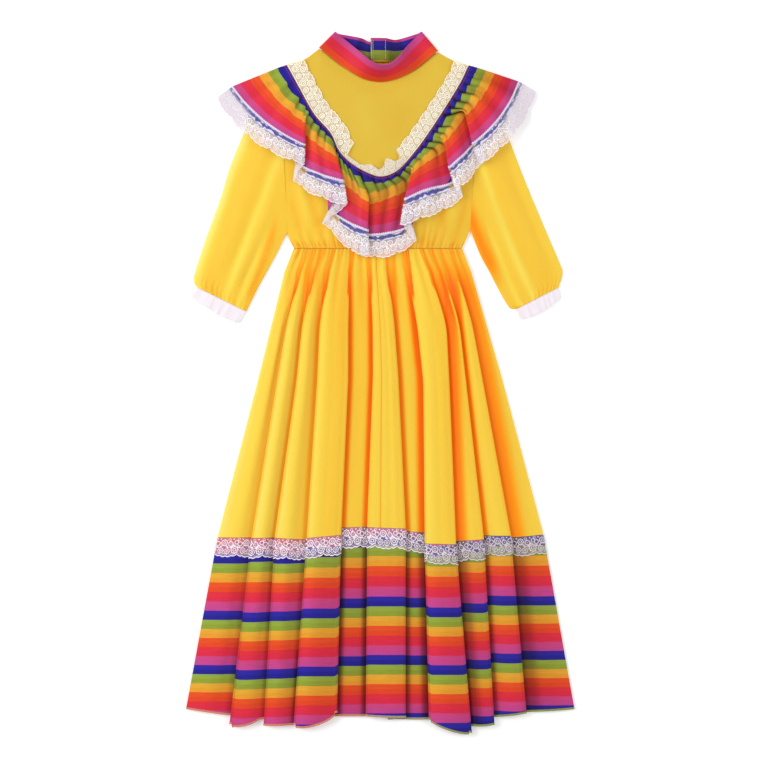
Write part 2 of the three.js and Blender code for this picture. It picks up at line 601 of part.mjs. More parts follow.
function sleeve(side, colour, laceColour) {
  const table = SLEEVES[side];
  const sign = side === 'left' ? -1 : 1;
  const arm = side === 'left' ? ARM_LEFT : ARM_RIGHT;
  const armLine = arm.slice(0, 5);
  const start = (u) => {
    const p = onLine(armLine, u);
    return [p[0] + sign * (GAP + 0.6), p[1]];
  };
  const endA = table.outer[table.outer.length - 1];
  const endB = table.inner[table.inner.length - 1];
  const end = (u) => mix2(endA, endB, u);
  const outer = (w) => {
    const p = onLine(table.outer, w);
    const pull = 1 - ease(0, 0.04, w);
    return mix2(p, start(0), pull);
  };
  const inner = (w) => mix2(onLine(table.inner, w), start(1), 1 - ease(0, 0.04, w));
  const plan = (u, w) => patch(start, end, outer, inner, u, w);
  const height = (u, w, j) => {
    const dome = 2.2 * Math.sin(Math.PI * u) ** 0.7;
    const ridge = (at, wide) => Math.exp(-(((u - at) / wide) ** 2));
    const crease = 0.9 * ridge(0.28 + 0.1 * w, 0.09) * ease(0.05, 0.3, w)
      + 0.8 * ridge(0.72 - 0.1 * w, 0.08) * ease(0.2, 0.5, w) - 0.7 * ridge(0.52, 0.08) * ease(0.3, 0.6, w);
    const gather = j > 0 && j < SLEEVE_TOP - 1 ? (j % 2) * 1.5 * ease(0.72, 1, w) : 0;
    const calm = 1 - 0.45 * ease(0.8, 1, w);
    return 2.7 + dome * calm + crease * Math.sin(Math.PI * u) * (1 - ease(0.8, 1, w)) + gather;
  };
  const body = tube(`sleeve_${side}`, plan, SLEEVE_RINGS, height, CLOTH, colour);
  const along1 = (u) => {
    const p = end(u);
    const q = [endB[0] - endA[0], endB[1] - endA[1]];
    const size = Math.hypot(...q);
    const down = side === 'left' ? [q[1] / size, -q[0] / size] : [-q[1] / size, q[0] / size];
    return [p[0] + down[0] * (GAP + 0.1), p[1] + down[1] * (GAP + 0.1)];
  };
  const lacePlan = (u, w) => mix2(along1(u), onLine(table.lace, u), w);
  const frill = (u, w, j) => {
    const gather = j > 0 && j < SLEEVE_TOP - 1 ? (j % 2) * (1.5 + 0.8 * w) : 0;
    return 2.7 + 1.1 * Math.sin(Math.PI * u) ** 0.7 + gather;
  };
  const lace = tube(`cuff_lace_${side}`, lacePlan, [0, 0.45, 1], frill, LACE, laceColour);
  return side === 'right' ? [flipped(body), flipped(lace)] : [body, lace];
}

function collar(colour) {
  const steps = [0, 0.5, 1];
  const grid = steps.map((w) => COLLAR.map((row) => {
    const p = mix2(row.high, row.low, w);
    return [p[0], p[1], mix(row.up[1], row.up[0], w)];
  }));
  return wall('collar', grid, COLLAR_WALL, colour);
}

const YELLOW = 0xf2bd3c;
const STRIPED = 0xcc3048;
const WHITE = 0xf1eef6;

const dress = new THREE.Group();
dress.name = 'dress';
// Puts the middle of the whole dress over the origin.
dress.position.set(-0.35, -1.35, 0);

const last = skirtColumns.length - 1;
const skirtUpper = moved(skirtGrid(SKIRT_ROWS), CLOTH / 2);
const skirtLower = moved(skirtGrid(SKIRT_ROWS), -CLOTH / 2);
const halves = [['skirt_front_left', 0, centreColumn, -1], ['skirt_front_right', centreColumn, last, 1]];
for (const [name, from, to, side] of halves) {
  dress.add(between(name, cut(skirtUpper, from, to, side), cut(skirtLower, from, to, side), YELLOW));
}
const band = skirtGrid(BAND_ROWS);
dress.add(wall('band_front', band, CLOTH, STRIPED));

// Skirt lace: the band's own points, moved out, its lower edge in soft waves.
const laceGrid = moved(band, ON_CLOTH).slice(0, 3).map((line, r) => line.map((p, c) => {
  const wave = r === 2 ? 1.8 * Math.sin(c * 1.9) : 0;
  return [p[0], p[1] + wave, p[2]];
}));
dress.add(wall('skirt_lace', laceGrid, LACE, WHITE));

// Backs: flat on the floor.
const backRows = (list) => list.map((v) => {
  const line = [];
  for (let c = 0; c <= 8; c += 1) {
    const u = c / 8;
    const x = mix(along(DOWN, FOLDS[0].x, v), along(DOWN, SKIRT_RIGHT, v), u);
    const seam = -217 + 3 * Math.sin(Math.PI * u);
    const hem = -457 - 4 * Math.sin(Math.PI * u);
    const y = v <= 1 ? mix(WAIST_Y, seam, v) : mix(seam - GAP, hem, v - 1);
    line.push([x, y]);
  }
  return line;
});
dress.add(flatPiece('skirt_back', backRows([0, 0.08, 0.25, 0.455, 0.7, 1]), CLOTH, YELLOW));
dress.add(flatPiece('band_back', backRows([1 + 1e-9, 1.5, 2]), CLOTH, STRIPED));

dress.add(wall('bodice_front', bodiceGrid, CLOTH, YELLOW));
dress.add(flatPiece('bodice_back_left', bodiceBack(0, 0.5, -GAP / 2), CLOTH, YELLOW));
dress.add(flatPiece('bodice_back_right', bodiceBack(0.5, 1, GAP / 2), CLOTH, YELLOW));

for (const side of ['left', 'right']) dress.add(...sleeve(side, YELLOW, WHITE));

// The ruffle and the lace on it share one set of points, so the lace follows every fold.
const ruffleAll = ruffleGrid([...RUFFLE_ROWS, RUFFLE_LACE_END]);
const ruffleCloth = (away) => moved(ruffleAll, away).slice(0, -1);
dress.add(between('ruffle', ruffleCloth(CLOTH / 2), ruffleCloth(-CLOTH / 2), STRIPED));
const ruffleLace = (away) => moved(ruffleAll, away).slice(-3);
dress.add(between('ruffle_lace', ruffleLace(ON_CLOTH + LACE / 2), ruffleLace(ON_CLOTH - LACE / 2), WHITE));
dress.add(wall('yoke_lace', yokeLace(), LACE, WHITE));
dress.add(collar(STRIPED));

export default dress;
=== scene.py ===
import math

import bpy
import numpy as np
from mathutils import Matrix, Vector


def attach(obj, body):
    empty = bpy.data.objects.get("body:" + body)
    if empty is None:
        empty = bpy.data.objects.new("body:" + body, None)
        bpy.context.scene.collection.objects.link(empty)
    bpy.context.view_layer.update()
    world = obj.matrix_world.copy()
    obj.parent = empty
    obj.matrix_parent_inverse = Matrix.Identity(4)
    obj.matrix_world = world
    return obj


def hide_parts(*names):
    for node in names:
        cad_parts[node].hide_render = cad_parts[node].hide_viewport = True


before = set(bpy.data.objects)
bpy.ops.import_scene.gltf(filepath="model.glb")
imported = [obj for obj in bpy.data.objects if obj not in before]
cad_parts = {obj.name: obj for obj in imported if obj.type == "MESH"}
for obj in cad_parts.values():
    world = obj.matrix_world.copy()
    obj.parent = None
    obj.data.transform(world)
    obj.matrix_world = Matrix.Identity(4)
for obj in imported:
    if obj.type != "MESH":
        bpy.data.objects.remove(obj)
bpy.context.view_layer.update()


def records(names, rows):
    return [dict(zip(names.split(), row)) for row in rows]


# The dress lies on its back. Tables are in millimetres, in the part's own unshifted frame, and
# place() moves them to the row frame in metres.
SHIFT = np.array([-0.35, -1.35, 0.0])
CLOTH = 0.9
BACK_CLOTH = 1.2
GAP = 0.3
# Height of the skirt's front over the floor, and half the rise of a fold's lower and upper turn.
FRONT_Z = 2.1
TURN_LOW = 2.4
TURN_TOP = 1.3
FOLD_RISE = 2 * TURN_LOW + 2 * TURN_TOP
# Rise of the columns of a turned edge, from the sheet below to the top of the fold.
TURN_RISE = [0, TURN_LOW, 2 * TURN_LOW, 2 * TURN_LOW, 2 * TURN_LOW + TURN_TOP, FOLD_RISE]

WAIST_Y = 187.6
BAND_DEPTH = 250
# Places down the skirt where its lines are given: 0 the waist, 1 the band's seam, 2 the hem.
DOWN = [0, 0.08, 0.455, 1, 2]
# The skirt's folds from left to right: which side of its left edge lies on top, x of that edge, y
# of both ends of its seam and of its hem, columns, and depth of the tuck at that edge. Then its
# looks: height of the top of its middle blue line, repeat of its stripes above that and below it,
# bow of its hem, tone of painted light and shade at its left side, middle and right side, and
# depth and width of the painted shade of the valley at its left and at its right side.
FOLDS = records("name top x seam hem n tuck blue upper lower bow tone left right", [
    ("A", "side", [-120.4, -133.4, -170.8, -227.5, -271.6], [-217, -217], [-457, -466], 5, 0,
     -319.6, 79.5, 76.0, 0, (0.86, 0.62, 0.50), (0, 9), (0.10, 10)),
    ("B", "right", [-107, -117.6, -143.4, -179.2, -210], [-217, -217], [-477, -465], 4, 11,
     -321.3, 85.0, 80.5, 8, (0.88, 0.66, 0.52), (0, 9), (0.26, 6)),
    ("C", "right", [-92, -100.8, -116.2, -147, -162.4], [-217, -220], [-479, -479], 4, 11,
     -319.7, 80.0, 80.5, 0.5, (0.86, 0.58, 0.44), (0, 9), (0.16, 10)),
    ("D", "right", [-74, -80.5, -87.4, -102.2, -120.4], [-217, -213], [-478, -461], 7, 17,
     -315.7, 86.4, 81.0, 10, (0.84, 0.50, 0.48), (0, 9), (0, 9)),
    ("E", "left", [-42, -44.8, -44.8, -54.6, -60.2], [-203, -202], [-467, -467], 5, 17,
     -302.4, 85.7, 81.0, 0, (0.42, 0.48, 0.40), (0.42, 9), (0.46, 9)),
    ("F", "right", [-10, -10.2, -9.4, -17.5, -19.6], [-202, -204], [-466, -468], 7, 18,
     -298.9, 85.4, 81.5, 0.5, (0.56, 0.60, 0.50), (0, 9), (0, 9)),
    ("G", "left", [13, 14, 25.2, 35.7, 35.7], [-208, -210], [-471, -471], 5, 18,
     -301.7, 84.6, 80.5, 0.5, (0.48, 0.52, 0.38), (0.44, 9), (0.50, 13)),
    ("H", "right", [41, 44.8, 61, 63, 68.6], [-225, -226], [-471, -489], 7, 14,
     -314.3, 86.4, 80.5, 6.5, (0.76, 0.56, 0.48), (0, 9), (0, 9)),
    ("I", "left", [80, 88.9, 96.6, 106, 128], [-222, -219], [-480, -478], 4, 14,
     -308.7, 86.3, 78.7, 1, (0.40, 0.50, 0.50), (0.46, 20), (0, 9)),
    ("J", "left", [93, 102.2, 119.7, 144.9, 159.6], [-214, -214], [-468, -462], 4, 12,
     -298.2, 84.0, 80.6, 0.5, (0.50, 0.58, 0.50), (0.50, 9), (0, 9)),
    ("K", "left", [104, 114.8, 142.8, 182.7, 204.4], [-217, -213], [-461, -457], 5, 12,
     -299.3, 85.8, 76.3, 0.5, (0.32, 0.44, 0.58), (0.30, 26), (0, 9)),
])
SKIRT_RIGHT = [114.8, 127.4, 170.8, 228.9, 272.3]
TUCK_SHARE = [0, 0.16, 0.5, 1, 1.35]
# Soft troughs and ridges in each fold: place across it, half width across it, depth in mm
# (troughs are minus), and the stretch of skirt it runs over.
SKIRT_CREASES = dict(
    A=[(0.30, 0.13, -1.5, 0.05, 1.3), (0.62, 0.12, 1.3, 0.10, 2.0), (0.82, 0.10, -1.4, 0.2, 2.0)],
    B=[(0.45, 0.16, 1.0, 0.10, 1.6), (0.72, 0.12, -1.0, 0.15, 1.9)],
    C=[(0.40, 0.15, 0.9, 0.12, 1.7), (0.68, 0.14, -1.1, 0.25, 2.0)],
    D=[(0.22, 0.10, 0.8, 0.05, 1.5), (0.50, 0.11, -0.9, 0.1, 1.2), (0.80, 0.09, 0.9, 0.2, 2.0)],
    E=[(0.50, 0.20, -0.8, 0.0, 1.0), (0.30, 0.16, 0.7, 0.3, 2.0)],
    F=[(0.16, 0.08, 0.9, 0.0, 1.6), (0.62, 0.10, -1.3, 0.05, 1.3), (0.78, 0.08, 1.0, 0.1, 2.0)],
    G=[(0.42, 0.16, 0.8, 0.0, 1.4), (0.70, 0.14, -0.9, 0.2, 2.0)],
    H=[(0.25, 0.10, 0.9, 0.1, 1.4), (0.52, 0.10, -1.0, 0.2, 1.6), (0.78, 0.10, 1.0, 0.3, 2.0)],
    I=[(0.35, 0.15, -1.0, 0.1, 1.8), (0.70, 0.14, 0.9, 0.2, 2.0)],
    J=[(0.30, 0.14, -0.9, 0.1, 1.7), (0.62, 0.15, 0.9, 0.2, 2.0)],
    K=[(0.30, 0.12, -1.4, 0.1, 2.0), (0.52, 0.12, 1.2, 0.1, 2.0), (0.78, 0.12, -1.2, 0.05, 1.2)],
)

RUFFLE_SEAM = [
    [-131, 444], [-116, 416.5], [-93.5, 376.5], [-70, 349], [-58, 324], [-39, 305], [-13, 291],
    [5, 288], [26, 297], [48, 321], [68, 348], [92, 384.5], [113, 419], [124.5, 443.5],
]
# Its turned edges: the side that lies on top, the start at the seam, and then, at the hem and at
# the lace's edge, the fold's edge, the tuck's line below it and the end of the lower fold.
RUFFLE_EDGES = records("top at edge under low", [
    ("left", [-103.6, 394], [[-104.7, 333], [-106.4, 303]], [[-119, 308], [-123, 281]],
     [[-104, 301.5], [-107, 269]]),
    ("left", [-70, 349], [[-51.5, 283.5], [-45.5, 246]], [[-73.5, 241], [-82.5, 221]],
     [[-55, 232], [-55, 196]]),
    ("left", [-13.5, 291], [[-17, 214], [-15.5, 176]], [[-29, 211], [-29, 177]],
     [[-17, 208], [-15, 174]]),
    ("right", [53, 328], [[35, 258], [28.5, 218]], [[47, 221], [53, 196]],
     [[33, 216], [34, 183]]),
    ("right", [83, 370], [[95.5, 302], [107.5, 265]], [[110, 284], [118, 258]],
     [[96, 278], [102.5, 246]]),
    ("right", [110, 413], [[128.5, 335], [140, 303]], [[136, 339], [149, 311]],
     [[128, 333], [138, 299]]),
])
RUFFLE_LEFT = [[-131, 444], [-205.5, 415], [-229.6, 397.6]]
RUFFLE_RIGHT = [[124.5, 443.5], [193, 422], [219.5, 406.7]]
# Bow of its hem and of its lace, how far a sloping fold comes down, columns, and tone, the fold's painted
# light and shade.
RUFFLE_FOLDS = records("name bow down n tone", [
    ("R1", (9, 16), 1, 9, 0.74), ("R2", (2, 3), 1, 6, 0.58), ("R3", (1, 5), 0.64, 6, 0.55),
    ("R4", (2, 4), 1, 8, 0.46), ("R5", (-3, 2), 0.82, 6, 0.56), ("R6", (1, 1), 1, 4, 0.54),
    ("R7", (8, 12), 1, 9, 0.54),
])
RUFFLE_Z = 7.6
# Places down the ruffle: 0 its seam, 1 where the lace starts, then the cloth's and the lace's end.
RUFFLE_CLOTH_END = 1.14
RUFFLE_LACE_END = 1.4

NECK_FRONT = [
    [-84.8, 467.5], [-60.5, 447.4], [-41.7, 435], [-23, 425], [-2.8, 420.7], [14.6, 422.5],
    [33.3, 428.7], [51.9, 439], [66, 450.5], [80.8, 462.7],
]
NECK_BACK = [[-84.8, 467.5], [-60, 458], [-32, 451.6], [-2.8, 450.1], [28, 451], [57, 456], [80.8, 462.7]]
SHOULDER_LEFT = [[-151.2, 436], [-130, 445.2], [-108.5, 451], [-84.8, 467.5]]
SHOULDER_RIGHT = [[80.8, 462.7], [103.6, 450.5], [124.5, 443.8], [144.2, 436]]
ARM_LEFT = [
    [-151.2, 436], [-140, 381.5], [-134.4, 308.7], [-131.6, 255.5], [-129.5, 209.3], [-120.4, 188.2],
]
ARM_RIGHT = [
    [144.2, 436], [137.2, 381.5], [133, 308.7], [128.8, 255.5], [125.3, 214], [114.8, 188.2],
]
SLEEVES = dict(
    left=dict(
        outer=[
            [-154, 436], [-173.6, 395.5], [-191, 350], [-210.3, 301.7], [-224.3, 255.5], [-245, 198.7],
            [-260.8, 147.7], [-257, 133.7],
        ],
        inner=[[-130.8, 209.3], [-143, 184], [-157, 158], [-169.7, 135], [-180.2, 114], [-187.2, 99.4]],
        lace=[[-264.5, 120], [-224, 95], [-197, 83]],
    ),
    right=dict(
        outer=[
            [147, 436], [168, 377], [188, 322], [202.7, 283.5], [228.6, 221.3], [251.9, 166.9],
            [255.8, 153], [250.6, 133.5],
        ],
        inner=[
            [126.6, 213.5], [131.5, 200.6], [141.8, 176], [154.7, 152.7], [163.8, 134.5], [180.6, 106],
            [191, 102.9],
        ],
        lace=[[253.5, 119.5], [224, 99], [197, 88]],
    ),
)
COLLAR_WALL = 2.2
# Collar, all round: x and y of its foot, x and y of its free edge, and the heights of both.
COLLAR = [
    (5, 451, 5, 477.5, 1.1, 1.1), (-14, 451, -14, 477, 1.1, 1.1), (-32, 452.3, -25, 482, 1.1, 1.1),
    (-60, 458.8, -44, 486, 1.1, 1.1), (-82.2, 467.3, -59.5, 489, 1.1, 1.1),
    (-84.6, 468.4, -61.8, 490.8, 2.9, 2.9),
    (-82.2, 466.6, -59.5, 488.4, 4.7, 4.7), (-60.3, 448.3, -42, 474, 4.3, 6.5),
    (-41.4, 435.9, -26, 460, 3.9, 13),
    (-22.7, 425.9, -11, 445.6, 3.6, 24), (-2.8, 421.7, 2, 440, 3.5, 28.5),
    (14.4, 423.5, 15, 442.5, 3.5, 27.5),
    (33, 429.7, 27.5, 455, 3.7, 19), (51.3, 439.8, 39.5, 472, 4.1, 8), (65.4, 451.3, 48.5, 482, 4.5, 5.2),
    (78, 462, 55, 489, 4.7, 4.7), (80.4, 463.9, 57.3, 491, 2.9, 2.9), (78, 462.8, 55, 489.6, 1.1, 1.1),
    (57, 456.8, 41, 485, 1.1, 1.1), (28, 451.8, 22, 480, 1.1, 1.1), (17, 451.2, 14, 481, 1.4, 1.4),
    (9, 451, 8, 482, 3.7, 3.7), (-13, 451, -13, 482.4, 3.7, 3.7),
]

STRIPE = 13.2
REPEAT = 6 * STRIPE
# Stripes down the cloth, in sRGB, each in two close shades.
STRIPES = [
    (44, 38, 162), (36, 32, 148), (150, 174, 62), (146, 165, 54), (234, 172, 54), (236, 163, 46),
    (237, 84, 36), (234, 74, 36), (228, 48, 64), (225, 44, 74), (207, 72, 134), (201, 71, 144),
]


def mix(a, b, t):
    return a + (b - a) * t


def clamp(x, a, b):
    return min(b, max(a, x))


# A soft bump of height 1 at a place.
def bump(x, at, wide):
    return np.exp(-((x - at) / wide) ** 2)


def ease(a, b, x):
    t = np.clip((np.asarray(x, float) - a) / (b - a), 0, 1)
    return t * t * (3 - 2 * t)


def uneven(i):
    s = np.sin(np.asarray(i, float) * 12.9898 + 4.1) * 43758.5453
    return 2 * (s - np.floor(s)) - 1


# Smooth unevenness between -1 and 1 along a line.
def wander(x, seed=0):
    x = np.asarray(x, float)
    i = np.floor(x)
    t = x - i
    t = t * t * (3 - 2 * t)
    return mix(uneven(i + seed * 31.7), uneven(i + 1 + seed * 31.7), t)


# A value given at the places DOWN, at place v.
def along(values, v):
    return float(np.interp(v, DOWN, values))


# Points at shares t of a line's length, on a smooth curve through its points.
def on_line(points, t):
    p = np.asarray(points, float)
    t = np.atleast_1d(np.asarray(t, float))
    far = np.concatenate([[0], np.cumsum(np.hypot(*np.diff(p, axis=0).T))])
    want = np.clip(t, 0, 1) * far[-1]
    i = np.clip(np.searchsorted(far, want, side="left") - 1, 0, len(p) - 2)
    u = ((want - far[i]) / (far[i + 1] - far[i]))[:, None]
    p1, p2 = p[i], p[i + 1]
    m1 = np.where((i > 0)[:, None], (p2 - p[np.maximum(i - 1, 0)]) / 2, p2 - p1)
    m2 = np.where((i < len(p) - 2)[:, None], (p[np.minimum(i + 2, len(p) - 1)] - p1) / 2, p2 - p1)
    u2, u3 = u * u, u * u * u
    return (2 * u3 - 3 * u2 + 1) * p1 + (u3 - 2 * u2 + u) * m1 + (3 * u2 - 2 * u3) * p2 + (u3 - u2) * m2


# Patch in plan between four edge lines, given as functions of shares; rows w, columns u.
def patch(top, bottom, left, right, us, ws):
    corners = np.array([0.0, 1.0])
    (a, b), (c, d) = top(corners), bottom(corners)
    u, w = us[None, :, None], ws[:, None, None]
    down = mix(top(us)[None], bottom(us)[None], w)
    across = mix(left(ws)[:, None], right(ws)[:, None], u)
    return down + across - mix(mix(a, b, u), mix(c, d, u), w)


# The columns of a folded sheet, with the share g of the seam that each one takes up.
def columns_of(folds, edges):
    cols = [dict(kind="side", fold=0, u=0.0, w=1)]
    for i, fold in enumerate(folds):
        for j in range(fold["n"]):
            cols.append(dict(kind="crest", fold=i, u=(j + 0.5) / fold["n"], w=1))
        if i < len(folds) - 1:
            last = len(TURN_RISE) - 1
            for j in range(last + 1):
                k = j if edges[i]["top"] == "right" else last - j
                cols.append(dict(kind="turn", edge=i, k=k, w=1 if j == 0 else 0.34))
    cols.append(dict(kind="side", fold=len(folds) - 1, u=1.0, w=1))
    total = 0
    for i, col in enumerate(cols):
        total += col["w"] if i else 0
        col["g"] = total
    for col in cols:
        col["g"] /= total
    return cols


# Plan place and rise of one column of a folded sheet at place w down it.
def fold_place(spec, col, w):
    def tuck(e):
        return mix(spec["edge"](e, w), spec["under"](e, w), float(spec["blend"](w)))

    def depth(e):
        return float(np.dot(tuck(e) - spec["edge"](e, w), spec["way"](e)))

    if col["kind"] == "turn":
        e, k = col["edge"], col["k"]
        way = spec["way"](e)
        upper = k > 2
        p = spec["edge"](e, w) if upper else tuck(e)
        back = (0 if k in (1, 4) else (TURN_TOP if upper else -TURN_LOW)) * clamp(depth(e) / 8, 0, 1)
        return p + way * back, TURN_RISE[k]
    i, u = col["fold"], col["u"]
    count = len(spec["folds"])

    def end(e, is_left):
        if e < 0 or e >= count - 1:
            return spec["ends"](w)[0 if is_left else 1], False, 0
        high = spec["edges"][e]["top"] == ("right" if is_left else "left")
        way, a, b, deep = spec["way"](e), spec["edge"](e, w), tuck(e), depth(e)
        if high:
            return a + way * TURN_TOP, True, deep
        if "low" in spec:
            return mix(a, spec["low"](e, w), float(spec["blend"](w))), False, deep
        return b - way * deep, False, deep

    lp, lh, ld = end(i - 1, True)
    rp, rh, rd = end(i, False)
    wide = math.hypot(*(rp - lp))
    bow = spec["bow"](i, w) * 4 * u * (1 - u)
    p = mix(lp, rp, u) + np.array([(rp[1] - lp[1]), -(rp[0] - lp[0])]) / wide * bow
    hump = math.sin(math.pi * u)
    if lh and rh:
        return p, FOLD_RISE + 1.2 * hump
    if not lh and not rh:
        return p, spec["low_hump"](i) * hump
    across = u if lh else 1 - u
    hold = clamp(((ld if lh else rd) + 3) / wide, 0.15, 0.85)
    down = spec["folds"][i].get("down", 1)
    slope = float(ease(min(hold, down - 0.15), down + 0.02, across))
    return p, FOLD_RISE * (1 - slope) + 0.5 * hump * down


def folded(spec, cols, rows):
    out = np.zeros((len(rows), len(cols), 3))
    for c, col in enumerate(cols):
        first = fold_place(spec, col, 0)[0]
        seam = spec["start"](col["g"])
        for r, v in enumerate(rows):
            p, rise = fold_place(spec, col, v)
            s = float(spec["blend"](v))
            x, y = p + (1 - s) * (seam - first)
            out[r, c] = (x, y, spec["base"](x, y, v) + rise * s)
    return out


# n times as many columns, on smooth curves through a grid's columns.
def finer(grid, n):
    g = np.concatenate([2 * grid[:, :1] - grid[:, 1:2], grid, 2 * grid[:, -1:] - grid[:, -2:-1]], axis=1)
    d = np.sqrt(np.maximum(np.linalg.norm(np.diff(g, axis=1), axis=2, keepdims=True), 1e-4))
    p0, p1, p2, p3 = g[:, :-3], g[:, 1:-2], g[:, 2:-1], g[:, 3:]
    d1, d2, d3 = d[:, :-2], d[:, 1:-1], d[:, 2:]
    m1 = d2 * ((p1 - p0) / d1 - (p2 - p0) / (d1 + d2) + (p2 - p1) / d2)
    m2 = d2 * ((p2 - p1) / d2 - (p3 - p1) / (d2 + d3) + (p3 - p2) / d3)
    parts = []
    for k in range(n):
        u = k / n
        a, b = 2 * u ** 3 - 3 * u ** 2 + 1, u ** 3 - 2 * u ** 2 + u
        c, e = 3 * u ** 2 - 2 * u ** 3, u ** 3 - u ** 2
        parts.append(a * p1 + b * m1 + c * p2 + e * m2)
    fine = np.stack(parts, axis=2).reshape(grid.shape[0], -1, grid.shape[2])
    return np.concatenate([fine, grid[:, -1:]], axis=1)


def outward(grid):
    a, b = grid[:-1, :-1], grid[:-1, 1:]
    d, e = grid[1:, :-1], grid[1:, 1:]
    face = np.cross(e - a, b - d)
    face /= np.maximum(np.linalg.norm(face, axis=2, keepdims=True), 1e-9)
    total = np.zeros_like(grid)
    count = np.zeros(grid.shape[:2] + (1,))
    for rr in (0, 1):
        for cc in (0, 1):
            total[rr:rr + face.shape[0], cc:cc + face.shape[1]] += face
            count[rr:rr + face.shape[0], cc:cc + face.shape[1]] += 1
    total /= count
    return total / np.maximum((total ** 2).sum(2, keepdims=True), 0.5)


def moved(grid, away):
    return grid + outward(grid) * away


def place(points):
    return (np.asarray(points, float).reshape(-1, 3) + SHIFT) * 0.001


def mesh_object(name, points, faces, uv, material, tone=None, sharp=40, shade=None):
    mesh = bpy.data.meshes.new(name)
    mesh.from_pydata(place(points).tolist(), [], faces if isinstance(faces, list) else faces.tolist())
    mesh.polygons.foreach_set("use_smooth", np.ones(len(mesh.polygons), bool))
    if sharp:
        mesh.set_sharp_from_angle(angle=math.radians(sharp))
    index = np.zeros(len(mesh.loops), np.int32)
    mesh.loops.foreach_get("vertex_index", index)
    layer = mesh.uv_layers.new(name="UVMap")
    uv_m = np.asarray(uv, float).reshape(-1, 2)[index] * 0.001
    layer.data.foreach_set("uv", uv_m.astype(np.float32).ravel())
    for key, level in (("tone", tone), ("shade", shade)):
        if tone is not None:
            level = np.ones(len(mesh.vertices)) if level is None else level
            data = mesh.attributes.new(key, "FLOAT", "POINT").data
            data.foreach_set("value", np.asarray(level, np.float32).ravel())
    mesh.materials.append(material)
    mesh.update()
    obj = bpy.data.objects.new(name, mesh)
    bpy.context.scene.collection.objects.link(obj)
    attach(obj, "root")
    return obj


# Faces of a closed wall between an upper and a lower grid, seen from above anticlockwise.
def wall_faces(rows, cols):
    at = np.arange(rows * cols).reshape(rows, cols)
    low = rows * cols
    a, b, d, e = at[1:, :-1].ravel(), at[1:, 1:].ravel(), at[:-1, 1:].ravel(), at[:-1, :-1].ravel()
    faces = [np.stack([a, b, d, e], 1), np.stack([a + low, e + low, d + low, b + low], 1)]
    ends = ((at[0, :-1], at[0, 1:]), (at[-1, 1:], at[-1, :-1]))
    sides = ((at[1:, 0], at[:-1, 0]), (at[:-1, -1], at[1:, -1]))
    for one, two in ends + sides:
        faces.append(np.stack([one, two, two + low, one + low], 1))
    return np.concatenate(faces)


# A closed wall between two grids, with a UV of its own on the lower one if that is given.
def between(name, upper, lower, uv, material, tone, uv_low=None, shade=None):
    uvs = np.concatenate([uv.reshape(-1, 2), (uv if uv_low is None else uv_low).reshape(-1, 2)])
    points = np.concatenate([upper.reshape(-1, 3), lower.reshape(-1, 3)])
    shades = None if shade is None else np.tile(shade.ravel(), 2)
    faces = wall_faces(*upper.shape[:2])
    return mesh_object(name, points, faces, uvs, material, np.tile(tone.ravel(), 2), shade=shades)


def wall(name, grid, thick, uv, material, tone, shade=None):
    upper, lower = moved(grid, thick / 2), moved(grid, -thick / 2)
    return between(name, upper, lower, uv, material, tone, shade=shade)


# The flat cut of a grid of cloth: widest row, longest column and area, in metres.
def cut_of(grid):
    across = np.linalg.norm(np.diff(grid, axis=1), axis=2).sum(1)
    down = np.linalg.norm(np.diff(grid, axis=0), axis=2).sum(0)
    d1 = grid[1:, 1:] - grid[:-1, :-1]
    d2 = grid[1:, :-1] - grid[:-1, 1:]
    area = 0.5 * np.linalg.norm(np.cross(d1, d2), axis=2).sum()
    return float(across.max()) / 1000, float(down.max()) / 1000, float(area) / 1e6


LEAST_SHARE, MOST_SHARE = 0.305, 0.999


# A piece of cloth: hides the node it replaces. Its flat cut of width, length and area is bounded but not
# passed on.
def cloth(node, cut):
    wide, long, area = cut
    area = min(max(area, LEAST_SHARE * wide * long), MOST_SHARE * wide * long)
    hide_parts(node)


# Materials.
def linear(rgb):
    c = np.asarray(rgb, float) / 255
    out = np.where(c <= 0.04045, c / 12.92, ((c + 0.055) / 1.055) ** 2.4)
    return (*out.tolist(), 1.0)


def grey(level):
    return (level, level, level, 1)


# A wave texture of scale 1 repeats after this length.
WAVE_LENGTH = 0.3142


